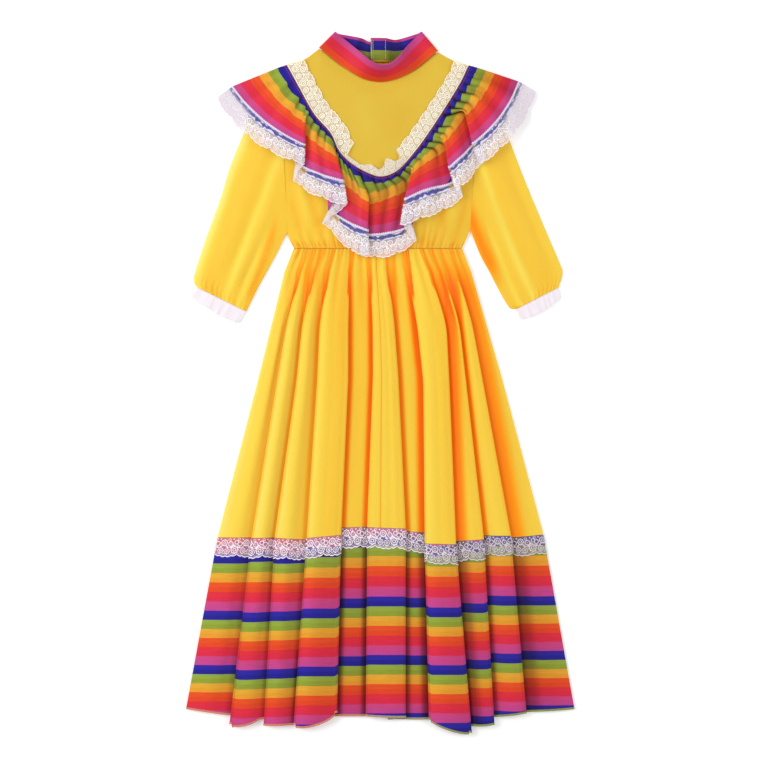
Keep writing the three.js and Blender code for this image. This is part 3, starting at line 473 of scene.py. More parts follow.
class Nodes:
    def __init__(self, name):
        self.mat = bpy.data.materials.new(name)
        self.mat.use_nodes = True
        self.tree = self.mat.node_tree
        self.tree.nodes.clear()
        out = self.tree.nodes.new("ShaderNodeOutputMaterial")
        self.skin = self.tree.nodes.new("ShaderNodeBsdfPrincipled")
        self.feed(out.inputs["Surface"], self.skin.outputs["BSDF"])
        self.uv = self.new("ShaderNodeUVMap", dict(uv_map="UVMap")).outputs["UV"]

    # Sets an input to a value, or links an output to it.
    def feed(self, socket, value):
        if isinstance(value, (int, float, tuple)):
            socket.default_value = value
        else:
            self.tree.links.new(value, socket)

    def feed_all(self, node, inputs):
        for key, value in inputs.items():
            self.feed(node.inputs[key.replace("_", " ")], value)

    # A node with its settings and its inputs, whose names have underscores for spaces here.
    def new(self, kind, settings, **inputs):
        node = self.tree.nodes.new(kind)
        for key, value in settings.items():
            setattr(node, key, value)
        self.feed_all(node, inputs)
        return node

    def math(self, op, a, b=None):
        node = self.new("ShaderNodeMath", dict(operation=op))
        for socket, value in zip(node.inputs, (a, b)):
            if value is not None:
                self.feed(socket, value)
        return node.outputs[0]

    # Noise in spots 1/x long across the cloth and 1/y long down it, in metres.
    def noise(self, x, y, detail=2, rough=0.6):
        spots = self.new("ShaderNodeMapping", {}, Scale=(x, y, 1.0), Vector=self.uv).outputs["Vector"]
        noise = self.new("ShaderNodeTexNoise", {}, Scale=1.0, Detail=detail, Roughness=rough, Vector=spots)
        return noise.outputs["Fac"]

    def ramp(self, fac, stops, constant=False):
        node = self.new("ShaderNodeValToRGB", {}, Fac=fac)
        node.color_ramp.interpolation = "CONSTANT" if constant else "LINEAR"
        e = node.color_ramp.elements
        while len(e) > 1:
            e.remove(e[-1])
        e[0].position, e[0].color = stops[0]
        for where, colour in stops[1:]:
            e.new(where).color = colour
        return node.outputs["Color"]

    def blend(self, how, fac, a, b):
        node = self.new("ShaderNodeMix", dict(data_type="RGBA", blend_type=how), Factor=fac)
        self.feed(node.inputs[6], a)
        self.feed(node.inputs[7], b)
        return node.outputs[2]

    def times(self, a, b):
        return self.blend("MULTIPLY", 1.0, a, b)

    def spread(self, value, low, high):
        return self.new("ShaderNodeMapRange", {}, To_Min=low, To_Max=high, Value=value).outputs["Result"]

    def attribute(self, name, output):
        settings = dict(attribute_name=name, attribute_type="GEOMETRY")
        return self.new("ShaderNodeAttribute", settings).outputs[output]

    def tone(self):
        return self.attribute("tone", "Fac")

    # How far the tone is above 0.5, from 0 to 1.
    def dense(self):
        return self.math("MAXIMUM", self.math("SUBTRACT", self.math("MULTIPLY", self.tone(), 2), 1), 0)

    def shaded(self, colour):
        return self.times(colour, self.attribute("shade", "Color"))

    def length_down(self):
        return self.new("ShaderNodeSeparateXYZ", {}, Vector=self.uv).outputs["Y"]

    # Threads of a pitch in millimetres across and down the cloth, with another height added.
    def weave(self, pitch, strength, extra):
        height = None
        for axis in ("X", "Y"):
            settings = dict(wave_type="BANDS", bands_direction=axis)
            scale = WAVE_LENGTH / (pitch * 0.001)
            wave = self.new("ShaderNodeTexWave", settings, Scale=scale, Distortion=0.4, Vector=self.uv)
            fac = wave.outputs["Fac"]
            height = fac if height is None else self.math("MULTIPLY", height, fac)
        height = self.math("ADD", height, extra)
        bump_node = self.new("ShaderNodeBump", {}, Strength=strength, Distance=0.0002, Height=height)
        self.feed(self.skin.inputs["Normal"], bump_node.outputs["Normal"])

    def finished(self, colour, **inputs):
        self.feed_all(self.skin, dict(Base_Color=colour, **inputs))
        return self.mat


# The yellow cloth's colours in sRGB by tone, from painted shade in the deepest valley to a painted
# highlight on the brightest crest.
YELLOWS = [(230, 92, 0), (241, 150, 14), (247, 195, 57), (251, 213, 74), (253, 233, 122)]
# Painted light: a faint orange glow, emitted where the tone is low, lightens and warms the shaded valleys.
PAINTED_GLOW = [
    (0.0, (0.19, 0.050, 0, 1)), (0.22, (0.13, 0.048, 0, 1)), (0.42, (0.02, 0.012, 0, 1)),
    (0.50, (0, 0, 0, 1)),
]
# Painted light and shade: what the stripes' colours are multiplied by, by tone.
STRIPE_PAINTED_LIGHT = [
    (0.0, (0.12, 0.05, 0.07, 1)), (0.22, (0.42, 0.28, 0.28, 1)), (0.48, (0.78, 0.67, 0.66, 1)),
    (0.75, (1, 0.98, 1, 1)),
]
# Thread over the hem, peach at the left, grey and olive further on.
OVERLOCK_COLOURS = [(0.0, (226, 142, 112)), (0.4, (176, 160, 128)), (1.0, (148, 154, 72))]


def yellow_cloth(name):
    m = Nodes(name)
    broad = m.noise(9, 6, 3, 0.5)
    level = m.math("ADD", m.tone(), m.math("MULTIPLY", m.math("SUBTRACT", broad, 0.5), 0.10))
    colour = m.ramp(level, [(i / 4, linear(c)) for i, c in enumerate(YELLOWS)])
    threads = m.noise(260, 2600)
    colour = m.times(colour, m.ramp(threads, [(0.3, grey(0.93)), (0.7, grey(1))]))
    m.weave(0.55, 0.22, m.math("MULTIPLY", threads, 0.8))
    # The emission is the painted glow.
    return m.finished(
        m.shaded(colour), Roughness=m.spread(broad, 0.50, 0.62), Specular_IOR_Level=0.16,
        Sheen_Weight=0.10, Sheen_Roughness=0.45, Sheen_Tint=linear((255, 228, 120)),
        Subsurface_Weight=0.16, Subsurface_Radius=(1.0, 0.34, 0.04), Subsurface_Scale=0.003,
        Emission_Color=m.ramp(level, PAINTED_GLOW), Emission_Strength=1.0,
    )


def striped_cloth(name):
    m = Nodes(name)
    share = m.math("FRACT", m.math("MULTIPLY", m.length_down(), 1000 / REPEAT))
    bands = [(i / len(STRIPES), linear(c)) for i, c in enumerate(STRIPES)]
    colour = m.times(m.ramp(share, bands, constant=True), m.ramp(m.tone(), STRIPE_PAINTED_LIGHT))
    threads = m.noise(45, 1300, 3, 0.65)
    colour = m.times(colour, m.ramp(threads, [(0.30, grey(0.80)), (0.60, grey(1))]))
    m.weave(0.7, 0.25, m.math("MULTIPLY", threads, 1.2))
    rough = m.spread(threads, 0.46, 0.62)
    return m.finished(
        colour, Roughness=rough, Specular_IOR_Level=0.14, Sheen_Weight=0.03, Sheen_Roughness=0.4,
    )


# Colour of white thread, lighter in fine spots, and painted greyer where it lies close, a painted shade.
def lace_white(m, colour, spots, lighter, close):
    shown = m.blend("MIX", spots, linear(colour), linear([min(255, c + lighter) for c in colour]))
    return m.blend("MULTIPLY", m.dense(), shown, close)


# The strip is a first stretch of the lace, so wide, in a colour of its own.
def lace_threads(name, colour, strip=None):
    m = Nodes(name)
    soft = m.noise(900, 900)
    shown = lace_white(m, colour, soft, 10, (0.90, 0.87, 0.89, 1))
    if strip:
        wide, strip_colour = strip
        first = m.math("LESS_THAN", m.length_down(), wide / 1000)
        shown = m.blend("MIX", m.math("MULTIPLY", first, 0.8), shown, linear(strip_colour))
    m.weave(0.5, 0.5, soft)
    return m.finished(m.shaded(shown), Roughness=0.7, Specular_IOR_Level=0.2, Sheen_Weight=0.05)


# Net of fine threads, open between them. Its tone thins it below 0.5 and closes it above.
def lace_net(name, colour, pitch, thread, closed, between_them):
    m = Nodes(name)
    settings = dict(feature="DISTANCE_TO_EDGE")
    cells = m.new("ShaderNodeTexVoronoi", settings, Scale=1000 / pitch, Randomness=0.35, Vector=m.uv)
    on = m.math("LESS_THAN", cells.outputs["Distance"], thread)
    thin = m.math("MINIMUM", m.math("MULTIPLY", m.tone(), 2), 1)
    cover = m.math("MULTIPLY", m.spread(on, between_them, closed), thin)
    alpha = m.math("MAXIMUM", cover, m.math("MULTIPLY", m.dense(), 0.94))
    shown = lace_white(m, colour, m.noise(700, 700), 8, (0.86, 0.82, 0.84, 1))
    return m.finished(
        m.shaded(shown), Alpha=alpha, Roughness=0.75, Specular_IOR_Level=0.2, Sheen_Weight=0.05,
    )


def overlock_thread(name):
    m = Nodes(name)
    soft = m.noise(1500, 400)
    colour = m.ramp(m.tone(), [(where, linear(c)) for where, c in OVERLOCK_COLOURS])
    colour = m.times(colour, m.ramp(soft, [(0.3, grey(0.62)), (0.65, grey(1))]))
    m.weave(1.3, 0.8, soft)
    return m.finished(colour, Roughness=0.7, Specular_IOR_Level=0.2)


def plain_thread(name, colour):
    m = Nodes(name)
    shown = m.blend("MIX", m.noise(1200, 300), linear([c * 0.82 for c in colour]), linear(colour))
    return m.finished(shown, Roughness=0.6, Specular_IOR_Level=0.3, Sheen_Weight=0.2)


YELLOW = yellow_cloth("yellow_weave")
STRIPED = striped_cloth("striped_weave")
LACE_SKIRT = lace_threads("skirt_lace_threads", (240, 224, 234))
NET_SKIRT = lace_net("skirt_lace_net", (236, 216, 226), 1.5, 0.12, 0.42, 0.03)
LACE_RUFFLE = lace_threads("ruffle_lace_threads", (240, 236, 242), strip=(10.0, (214, 206, 230)))
NET_RUFFLE = lace_net("ruffle_lace_net", (238, 230, 236), 1.5, 0.13, 0.66, 0.26)
LACE_YOKE = lace_threads("yoke_lace_threads", (251, 243, 226))
NET_YOKE = lace_net("yoke_lace_net", (250, 240, 218), 1.5, 0.13, 0.66, 0.26)
NET_CUFF = lace_net("cuff_lace_net", (244, 236, 242), 1.3, 0.20, 0.95, 0.80)
OVERLOCK = overlock_thread("overlock_thread")
CRIMSON_THREAD = plain_thread("crimson_thread", (206, 40, 84))
WAIST_THREAD = plain_thread("waist_thread", (222, 156, 34))
PALE_THREAD = plain_thread("pale_thread", (232, 222, 172))

# Gathers along a seam: how many to the whole of it, and the seed that places them.
SKIRT_GATHERS = (18, 1)
BODICE_GATHERS = (19, 11)
WAIST_PUCKERS = (46, 4)
RUFFLE_GATHERS = (34, 14)


# Place g along the seam, counted in gathers, unevenly spaced.
def gathered(g, count, seed):
    return g * count + 0.85 * wander(g * count * 0.3, seed) + 0.35 * wander(g * count * 0.9, seed + 1)


# How high each place lies on its gather, 0 to 1.
def ridges(g, count, seed):
    w = gathered(g, count, seed)
    return (0.5 - 0.5 * np.cos(2 * np.pi * w)) * (0.66 + 0.34 * wander(g * count * 0.55, seed + 2))


# How deep each place lies in the narrow valleys between the gathers, 0 to 1, where shade is painted.
def valleys(g, count, seed, sharp):
    w = gathered(g, count, seed)
    depth = 0.55 + 0.45 * wander(np.round(w) * 0.7, seed + 3)
    return (0.5 + 0.5 * np.cos(2 * np.pi * w)) ** sharp * depth


# Skirt.
SKIRT_EDGES = FOLDS[1:]


def skirt_y(fold, side, v):
    seam, hem = FOLDS[fold]["seam"][side], FOLDS[fold]["hem"][side]
    return mix(WAIST_Y, seam, v) if v <= 1 else mix(seam, hem, v - 1)


def skirt_edge(e, v):
    right = SKIRT_EDGES[e]["top"] == "right"
    return np.array([along(SKIRT_EDGES[e]["x"], v), skirt_y(e + 1 if right else e, 0 if right else 1, v)])


def skirt_under(e, v):
    right = SKIRT_EDGES[e]["top"] == "right"
    deep = SKIRT_EDGES[e]["tuck"] * along(TUCK_SHARE, v)
    x = along(SKIRT_EDGES[e]["x"], v) + (deep if right else -deep)
    return np.array([x, skirt_y(e if right else e + 1, 1 if right else 0, v)])


SKIRT = dict(
    folds=FOLDS,
    edges=SKIRT_EDGES,
    way=lambda e: np.array([1.0 if SKIRT_EDGES[e]["top"] == "right" else -1.0, 0.0]),
    edge=skirt_edge,
    under=skirt_under,
    ends=lambda v: (
        np.array([along(FOLDS[0]["x"], v), skirt_y(0, 0, v)]),
        np.array([along(SKIRT_RIGHT, v), skirt_y(len(FOLDS) - 1, 1, v)]),
    ),
    bow=lambda i, v: 0,
    low_hump=lambda i: 2.2 if i in (0, len(FOLDS) - 1) else 1.3,
    base=lambda x, y, v: FRONT_Z,
    start=lambda g: np.array([mix(FOLDS[0]["x"][0], SKIRT_RIGHT[0], g), WAIST_Y]),
    blend=lambda v: ease(0, 0.3, v),
)
SKIRT_COLUMNS = columns_of(FOLDS, SKIRT_EDGES)
# The centre front seam runs down the third column of fold F.
CENTRE_FOLD = [f["name"] for f in FOLDS].index("F")
CENTRE = [i for i, c in enumerate(SKIRT_COLUMNS) if c["kind"] == "crest" and c["fold"] == CENTRE_FOLD][2]
SKIRT_COLUMNS[CENTRE]["u"] = 0.33
# Fine columns to a column.
FINE = 4


# Per fine column: place g, fold (or -1 in a turn) and place across the fold.
def column_facts(cols, n):
    g = np.array([c["g"] for c in cols])
    fold = np.array([c.get("fold", -1) for c in cols])
    u = np.array([c.get("u", np.nan) for c in cols])
    steps = (len(cols) - 1) * n + 1
    where = np.arange(steps) / n
    low = np.minimum(where.astype(int), len(cols) - 2)
    t = where - low
    gs = mix(g[low], g[low + 1], t)
    same = (fold[low] == fold[low + 1]) & (fold[low] >= 0)
    folds = np.where(same, fold[low], np.where(t < 0.5, fold[low], fold[low + 1]))
    with np.errstate(invalid="ignore"):
        us = np.where(same, mix(u[low], u[low + 1], t), np.where(t < 0.5, u[low], u[low + 1]))
    return gs, folds, np.nan_to_num(us)


SKIRT_G, SKIRT_FOLD, SKIRT_U = column_facts(SKIRT_COLUMNS, FINE)


def creased(grid, rows, fold_of, us, folds, table, share=1.0):
    out = grid.copy()
    rows = np.asarray(rows)[:, None]
    names = [f["name"] for f in folds]
    for name, creases in table.items():
        mask = (fold_of == names.index(name))[None]
        for at, wide, deep, start, stop in creases:
            run = ease(start - 0.02, start + 0.22, rows) * (1 - ease(stop - 0.35, stop + 0.02, rows))
            out[:, :, 2] += mask * bump(us, at, wide)[None] * run * deep * share
    return out


def skirt_grid(rows):
    rows = np.asarray(rows, float)
    grid = finer(folded(SKIRT, SKIRT_COLUMNS, rows), FINE)
    v = rows[:, None]
    soft, small = skirt_gathers(v)
    grid[:, :, 2] += 2.3 * soft + 1.7 * small + 0.35 * (1 - ease(0, 0.3, v))
    grid = creased(grid, rows, SKIRT_FOLD, SKIRT_U, FOLDS, SKIRT_CREASES, 0.6)
    # The hem of each fold hangs in a bow.
    bow = np.array([FOLDS[i]["bow"] if i >= 0 else 0 for i in SKIRT_FOLD])
    arch = (4 * SKIRT_U * (1 - SKIRT_U)) ** 0.5
    grid[:, :, 1] -= (bow * arch)[None] * np.clip((v - 1.3) / 0.7, 0, 1.1) ** 1.5
    return grid


# Soft gathers below the waist and the small puckers right at the seam, each from 0 to 1.
def skirt_gathers(v):
    g = SKIRT_G[None]
    fade = 1 - ease(0.04, 0.30 + 0.20 * wander(g * SKIRT_GATHERS[0], 5), v)
    soft = ridges(g, *SKIRT_GATHERS) * fade * (0.35 + 0.65 * ease(0, 0.03, v))
    small = ridges(g, *WAIST_PUCKERS) * (1 - ease(0.004, 0.035, v)) * (0.5 + 0.5 * ease(0, 0.008, v))
    return soft, small


# Tone, painted light and shade: 0 painted deep shade in a valley, 0.5 plain, 1 a painted highlight
# on a bright crest. Cloth under a fold is painted nearly 0, in shade. A turn is plain above this
# height over the front and painted dark, in shade, below it.
UNDER_PAINTED_SHADE = 0.06
TURN_MIDDLE = 4.5
TURN_PAINTED_SHADES = (0.50, 0.05)


def skirt_painted_light(grid, rows):
    out = np.zeros(grid.shape[:2])
    for r, v in enumerate(rows):
        lines = [along(f["x"], v) for f in FOLDS] + [along(SKIRT_RIGHT, v)]
        for i, look in enumerate(FOLDS):
            cols = SKIRT_FOLD == i
            x = grid[r, cols, 0]
            from_left, from_right = x - lines[i], lines[i + 1] - x
            u = np.clip(from_left / (lines[i + 1] - lines[i]), 0, 1)
            left, mid, right = look["tone"]
            t = left * (1 - u) * (1 - 2 * u) + mid * 4 * u * (1 - u) + right * u * (2 * u - 1)
            # Painted shade in the valley at each side of the fold.
            for (deep, reach), off in ((look["left"], from_left), (look["right"], from_right)):
                valley = 1 - ease(0.45 * reach, 1.1 * reach, off)
                t = t - deep * (1 - 0.4 * float(ease(1, 1.1, v))) * valley
            t = t + 0.08 * min(v, 1)
            if i > 0:
                t = np.where(from_left < -0.5, UNDER_PAINTED_SHADE, t)
            if i < len(FOLDS) - 1:
                t = np.where(from_right < -0.5, UNDER_PAINTED_SHADE, t)
            out[r, cols] = t
        turn = SKIRT_FOLD < 0
        out[r, turn] = np.where(grid[r, turn, 2] - FRONT_Z > TURN_MIDDLE, *TURN_PAINTED_SHADES)
    v = np.asarray(rows, float)[:, None]
    soft = skirt_gathers(v)[0]
    g = SKIRT_G[None]
    # Near the waist: painted light on the gathers, and painted shade in the valleys between the gathers and
    # between the puckers.
    puckers = 0.10 * soft - 0.20 * valleys(g, *SKIRT_GATHERS, 3)
    puckers = puckers - 0.26 * valleys(g, *WAIST_PUCKERS, 2) * (1 - ease(0.01, 0.06, v))
    return mix(0.56, out, 0.35 + 0.65 * ease(0, 0.16, v)) + puckers * (1 - ease(0.04, 0.34, v))


# How far each half of the front ends from the centre line.
CENTRE_GAP = 0.05


# Length down and across each grid point, for the weave.
def lengths(grid):
    across = np.concatenate([[0], np.cumsum(np.linalg.norm(np.diff(grid[-1], axis=0), axis=1))])
    down = np.linalg.norm(np.diff(grid, axis=0), axis=2).mean(1)
    down = np.concatenate([[0], np.cumsum(down)])
    return np.stack(np.broadcast_arrays(across[None], down[:, None]), axis=2)


SKIRT_ROWS = np.concatenate([np.linspace(0, 0.06, 7), np.linspace(0.08, 0.3, 16), np.linspace(0.33, 1, 26)])
skirt_all = skirt_grid(SKIRT_ROWS)
skirt_tones = skirt_painted_light(skirt_all, SKIRT_ROWS)
skirt_uv = lengths(skirt_all)
middle = CENTRE * FINE
# The centre front seam shows as a darker line.
skirt_tones[:, middle] -= 0.34
skirt_tones[:, [middle - 1, middle + 1]] -= 0.06
skirt_upper, skirt_lower = moved(skirt_all, CLOTH / 2), moved(skirt_all, -CLOTH / 2)
for name, cut, side in (("left", slice(0, middle + 1), -1), ("right", slice(middle, None), 1)):
    up, low = skirt_upper[:, cut].copy(), skirt_lower[:, cut].copy()
    # The centre front seam draws the cloth down a little on each side of it.
    for grid in (up, low):
        edge = grid[:, ::-1] if side < 0 else grid
        edge[:, 0, 0] += side * CENTRE_GAP
        for k, dip in enumerate((0.55, 0.2)):
            edge[:, k, 2] -= dip
    obj = between(f"skirt_front_{name}_cloth", up, low, skirt_uv[:, cut], YELLOW, skirt_tones[:, cut])
    flat = cut_of(skirt_all[:, cut])
    cloth(f"skirt_front_{name}", flat)

# Striped band. Its stripes are placed by the middle blue line of each fold.
BAND_ROWS = np.concatenate([np.linspace(1, 1.12, 7), np.linspace(1.15, 2, 27)])
band_all = skirt_grid(BAND_ROWS)
band_all[0, :, 1] -= GAP
band_uv = lengths(band_all)


def column_values(cols, n, of_fold):
    values = np.array([of_fold(c["fold"]) if "fold" in c else np.nan for c in cols])
    known = ~np.isnan(values)
    values = np.interp(np.arange(len(cols)), np.arange(len(cols))[known], values[known])
    return np.interp(np.arange((len(cols) - 1) * n + 1) / n, np.arange(len(cols)), values)


band_blue, band_upper, band_lower = (
    column_values(SKIRT_COLUMNS, FINE, lambda i: FOLDS[i][key])[None] for key in ("blue", "upper", "lower")
)
below_blue = band_blue - band_all[:, :, 1]
band_uv[:, :, 1] = (below_blue / np.where(below_blue < 0, band_upper, band_lower) + 10) * REPEAT
# The band's tone is the same painted light and shade as the skirt's.
band_painted_light = skirt_painted_light(band_all, BAND_ROWS)
band = wall("band_front_cloth", band_all, CLOTH, band_uv, STRIPED, band_painted_light)
cloth("band_front", cut_of(band_all))


# Overlock over the hem's edge.
HEM_EDGE = 2.4
HEM_OVER = 0.4
hem_rows = 2 + np.array([-HEM_EDGE, -HEM_EDGE / 2, 0, HEM_OVER]) / BAND_DEPTH
hem = skirt_grid(hem_rows)
obj = wall("hem_overlock", hem, CLOTH + 0.7, lengths(hem), OVERLOCK, ease(-110, 200, hem[:, :, 0]))


# Stitches along a path of points, so far apart, and of so much length, width and height.
def stitches(name, path, pitch, size, material):
    run = np.concatenate([[0], np.cumsum(np.linalg.norm(np.diff(path, axis=0), axis=1))])
    points, faces = [], []
    corners = ((-0.5, -0.5), (0.5, -0.5), (0.5, 0.5), (-0.5, 0.5))
    box = np.array([(x, y, z) for z in (-0.5, 0.5) for x, y in corners])
    sides = [(3, 2, 1, 0), (4, 5, 6, 7), (0, 1, 5, 4), (1, 2, 6, 5), (2, 3, 7, 6), (3, 0, 4, 7)]
    for k, far in enumerate(np.arange(pitch / 2, run[-1] - pitch / 2, pitch)):
        a, b = (np.array([np.interp(d, run, path[:, i]) for i in range(3)]) for d in (far - 0.5, far + 0.5))
        way = (b - a) / np.linalg.norm(b - a)
        aside = np.cross([0, 0, 1], way)
        aside /= np.linalg.norm(aside)
        axes = np.array([way * size[0], aside * size[1], np.cross(way, aside) * size[2]])
        points.append((a + b) / 2 + box @ axes)
        faces += [[i + 8 * k for i in side] for side in sides]
    points = np.concatenate(points)
    mesh_object(name, points, faces, points[:, :2], material, sharp=0)


# Backs, flat on the floor. The seam and the hem of the skirt's back, and how far each bows.
BACK_SEAM_Y, BACK_SEAM_BOW = -217, 3
BACK_HEM_Y, BACK_HEM_BOW = -457, -4
# Where the back's stripes start, so that they meet the front's at the side seams.
BACK_STRIPES = -12


def back_grid(rows):
    u = np.linspace(0, 1, 25)
    out = np.zeros((len(rows), len(u), 3))
    for r, v in enumerate(rows):
        out[r, :, 0] = mix(along(FOLDS[0]["x"], v), along(SKIRT_RIGHT, v), u)
        seam = BACK_SEAM_Y + BACK_SEAM_BOW * np.sin(np.pi * u)
        hem = BACK_HEM_Y + BACK_HEM_BOW * np.sin(np.pi * u)
        out[r, :, 1] = mix(WAIST_Y, seam, v) if v <= 1 else mix(seam - GAP, hem, v - 1)
    return out


def back_piece(node, plan, uv, material):
    upper = plan + np.array([0, 0, BACK_CLOTH])
    obj = between(f"{node}_cloth", upper, plan, uv, material, np.full(plan.shape[:2], 0.45))
    cloth(node, cut_of(plan))


back = back_grid(np.linspace(0, 1, 15))
back_piece("skirt_back", back, lengths(back), YELLOW)
back = back_grid(np.linspace(1 + 1e-9, 2, 15))
back_uv = lengths(back) + np.array([0, BACK_STRIPES + 10 * REPEAT])
back_piece("band_back", back, back_uv, STRIPED)


# Bodice. Its top runs over both shoulders, and along the neck between these shares of it.
NECK_FROM, NECK_TO = 0.2, 0.8


def top_of(neck):
    def point(u):
        if u < NECK_FROM:
            return on_line(SHOULDER_LEFT, u / NECK_FROM)[0]
        if u > NECK_TO:
            return on_line(SHOULDER_RIGHT, (u - NECK_TO) / (1 - NECK_TO))[0]
        return on_line(neck, (u - NECK_FROM) / (NECK_TO - NECK_FROM))[0]
    return lambda us: np.array([point(u) for u in us])


def waist_line(us):
    return np.stack([mix(FOLDS[0]["x"][0], SKIRT_RIGHT[0], us), np.full(len(us), WAIST_Y + 0.1)], axis=1)


def bodice_plan(neck, us, ws):
    sides = (lambda w: on_line(ARM_LEFT, w), lambda w: on_line(ARM_RIGHT, w))
    return np.pad(patch(top_of(neck), waist_line, *sides, us, ws), ((0, 0), (0, 0), (0, 1)))


BODICE_U = np.linspace(0, 1, 181)
BODICE_W = np.concatenate([np.linspace(0, 0.12, 7), np.linspace(0.15, 0.84, 24), np.linspace(0.86, 1, 17)])
bodice = bodice_plan(NECK_FRONT, BODICE_U, BODICE_W)
u, w = BODICE_U[None], BODICE_W[:, None]
inside = ease(0, 0.16, np.minimum(u, 1 - u))
rise = ease(0, 0.1, w) * (1.5 + 0.8 * inside)
rise = rise * (1 - ease(0.8, 0.93, w) * (1 - inside)) * (1 - ease(0.75, 1, w))
fade = ease(0.80 + 0.07 * wander(u * BODICE_GATHERS[0], 8), 0.97, w) * (1 - 0.5 * ease(0.975, 1, w))
tiny = ease(0.93, 0.985, w) * (1 - 0.4 * ease(0.985, 1, w))
gathers = 2.2 * ridges(u, *BODICE_GATHERS) * fade + 1.7 * ridges(u, *WAIST_PUCKERS) * tiny
bodice[:, :, 2] = FRONT_Z + rise + gathers
# Soft pulls in the bodice: from, to, half width, depth.
BODICE_CREASES = [
    ((-118, 300), (-96, 205), 7, 0.9), ((-104, 280), (-80, 200), 6, -0.8),
    ((-124, 262), (-112, 205), 5, -0.7), ((-60, 240), (-66, 200), 7, 0.8),
    ((112, 320), (98, 205), 8, 0.9), ((98, 300), (84, 205), 6, -0.9),
    ((124, 270), (112, 210), 5, -0.7), ((70, 250), (66, 200), 7, 0.7), ((-30, 410), (-10, 330), 14, 0.5),
    ((40, 400), (20, 330), 16, -0.5),
]


def pulled(grid, table):
    out = grid.copy()
    xy = grid[:, :, :2]
    for a, b, wide, deep in table:
        a, b = np.array(a, float), np.array(b, float)
        size = np.linalg.norm(b - a)
        t = ((xy - a) @ (b - a)) / size ** 2
        off = np.abs((xy - a) @ np.array([-(b - a)[1], (b - a)[0]])) / size
        out[:, :, 2] += deep * bump(off, 0, wide) * ease(0, 0.3, t) * (1 - ease(0.7, 1, t))
    return out


before = bodice[:, :, 2].copy()
bodice = pulled(bodice, BODICE_CREASES)
# The bodice's tone is painted light: higher places are painted lighter, the valleys between its gathers and
# puckers get painted shade, and its pulls get painted light and shade.
tone = 0.53 + 0.06 * np.clip((bodice[:, :, 2] - FRONT_Z - 2.4) / 2, -0.3, 1)
tone = tone - 0.34 * fade * valleys(u, *BODICE_GATHERS, 3) - 0.34 * tiny * valleys(u, *WAIST_PUCKERS, 2)
tone = tone + 0.11 * (bodice[:, :, 2] - before)
# Painted shade: the yoke above the ruffle is painted darker and duller, and the bodice's right side a
# little darker.
seam_x, seam_y = np.array(RUFFLE_SEAM).T
above = bodice[:, :, 1] - np.interp(bodice[:, :, 0], seam_x, seam_y)
in_yoke = ease(-6, 4, above) * (np.abs(bodice[:, :, 0]) < 131)
shade = 1 - 0.22 * in_yoke - 0.09 * ease(20, 70, bodice[:, :, 0]) * (1 - in_yoke)
tone = tone + 0.16 * in_yoke
obj = wall("bodice_front_cloth", bodice, CLOTH, lengths(bodice), YELLOW, tone, shade)
cloth("bodice_front", cut_of(bodice))
for name, a, b, shift in (("left", 0, 0.5, -GAP / 2), ("right", 0.5, 1, GAP / 2)):
    plan = bodice_plan(NECK_BACK, np.linspace(a, b, 19), np.linspace(0, 1, 24))
    plan[:, -1 if name == "left" else 0, 0] += shift
    back_piece(f"bodice_back_{name}", plan, lengths(plan), YELLOW)


# Sleeves and cuff lace: flattened tubes. Height of a tube's side edges, how far inside them its
# upper and lower walls end, and its length in the UV.
SIDE_Z = 1.35
SIDE_IN = 0.6
TUBE_RUN = 330
BOTTOM_TONE = 0.4


# plan gives x and y at shares across and place w along, height the upper wall's z.
def tube(name, plan, rings, tops, height, thick, material, tone_at, flip, bottoms=13):
    shares_low, shares_top = np.linspace(0, 1, bottoms), np.linspace(1, 0, tops)
    shares = np.concatenate([shares_low, [1], shares_top, [0]])
    edge = np.concatenate([np.full(bottoms, SIDE_IN), [0], np.full(tops, SIDE_IN), [0]])
    # The UV runs round the tube, with small steps at its side edges.
    round_it = np.concatenate([shares_low, [1.02], 1.04 + (1 - shares_top), [2.06]])
    count = len(shares)
    points, uvs, tones = [], [], []
    for w in rings:
        ends = plan(np.array([0.0, 1.0]), w)
        wide = math.hypot(*(ends[1] - ends[0]))
        tone = [np.full(bottoms, BOTTOM_TONE), [tone_at(1.0, w)], tone_at(shares_top, w), [tone_at(0.0, w)]]
        for inset in (0, thick):
            p = plan(np.clip(shares, (inset + edge) / wide, 1 - (inset + edge) / wide), w)
            top = height(shares_top, w) - inset
            z = np.concatenate([np.full(bottoms, float(inset)), [SIDE_Z], top, [SIDE_Z]])
            points.append(np.column_stack([p, z]))
            uvs.append(np.column_stack([round_it * wide, np.full(count, w * TUBE_RUN)]))
            tones.append(np.concatenate(tone))
    points = np.concatenate(points)
    at = np.arange(len(rings) * 2 * count).reshape(len(rings), 2, count)
    nxt = np.roll(at, -1, axis=2)
    faces = np.concatenate([
        np.stack([at[:-1, 0], nxt[:-1, 0], nxt[1:, 0], at[1:, 0]], -1).reshape(-1, 4),
        np.stack([nxt[:-1, 1], at[:-1, 1], at[1:, 1], nxt[1:, 1]], -1).reshape(-1, 4),
        np.stack([nxt[0, 0], at[0, 0], at[0, 1], nxt[0, 1]], -1),
        np.stack([at[-1, 0], nxt[-1, 0], nxt[-1, 1], at[-1, 1]], -1),
    ])
    if flip:
        faces = faces[:, ::-1]
    obj = mesh_object(name, points, faces, np.concatenate(uvs), material, np.concatenate(tones), sharp=60)
    # The whole cut all round, as an open grid.
    ring = points.reshape(len(rings), 2, count, 3)[:, 0]
    return obj, cut_of(np.concatenate([ring, ring[:, :1]], axis=1))


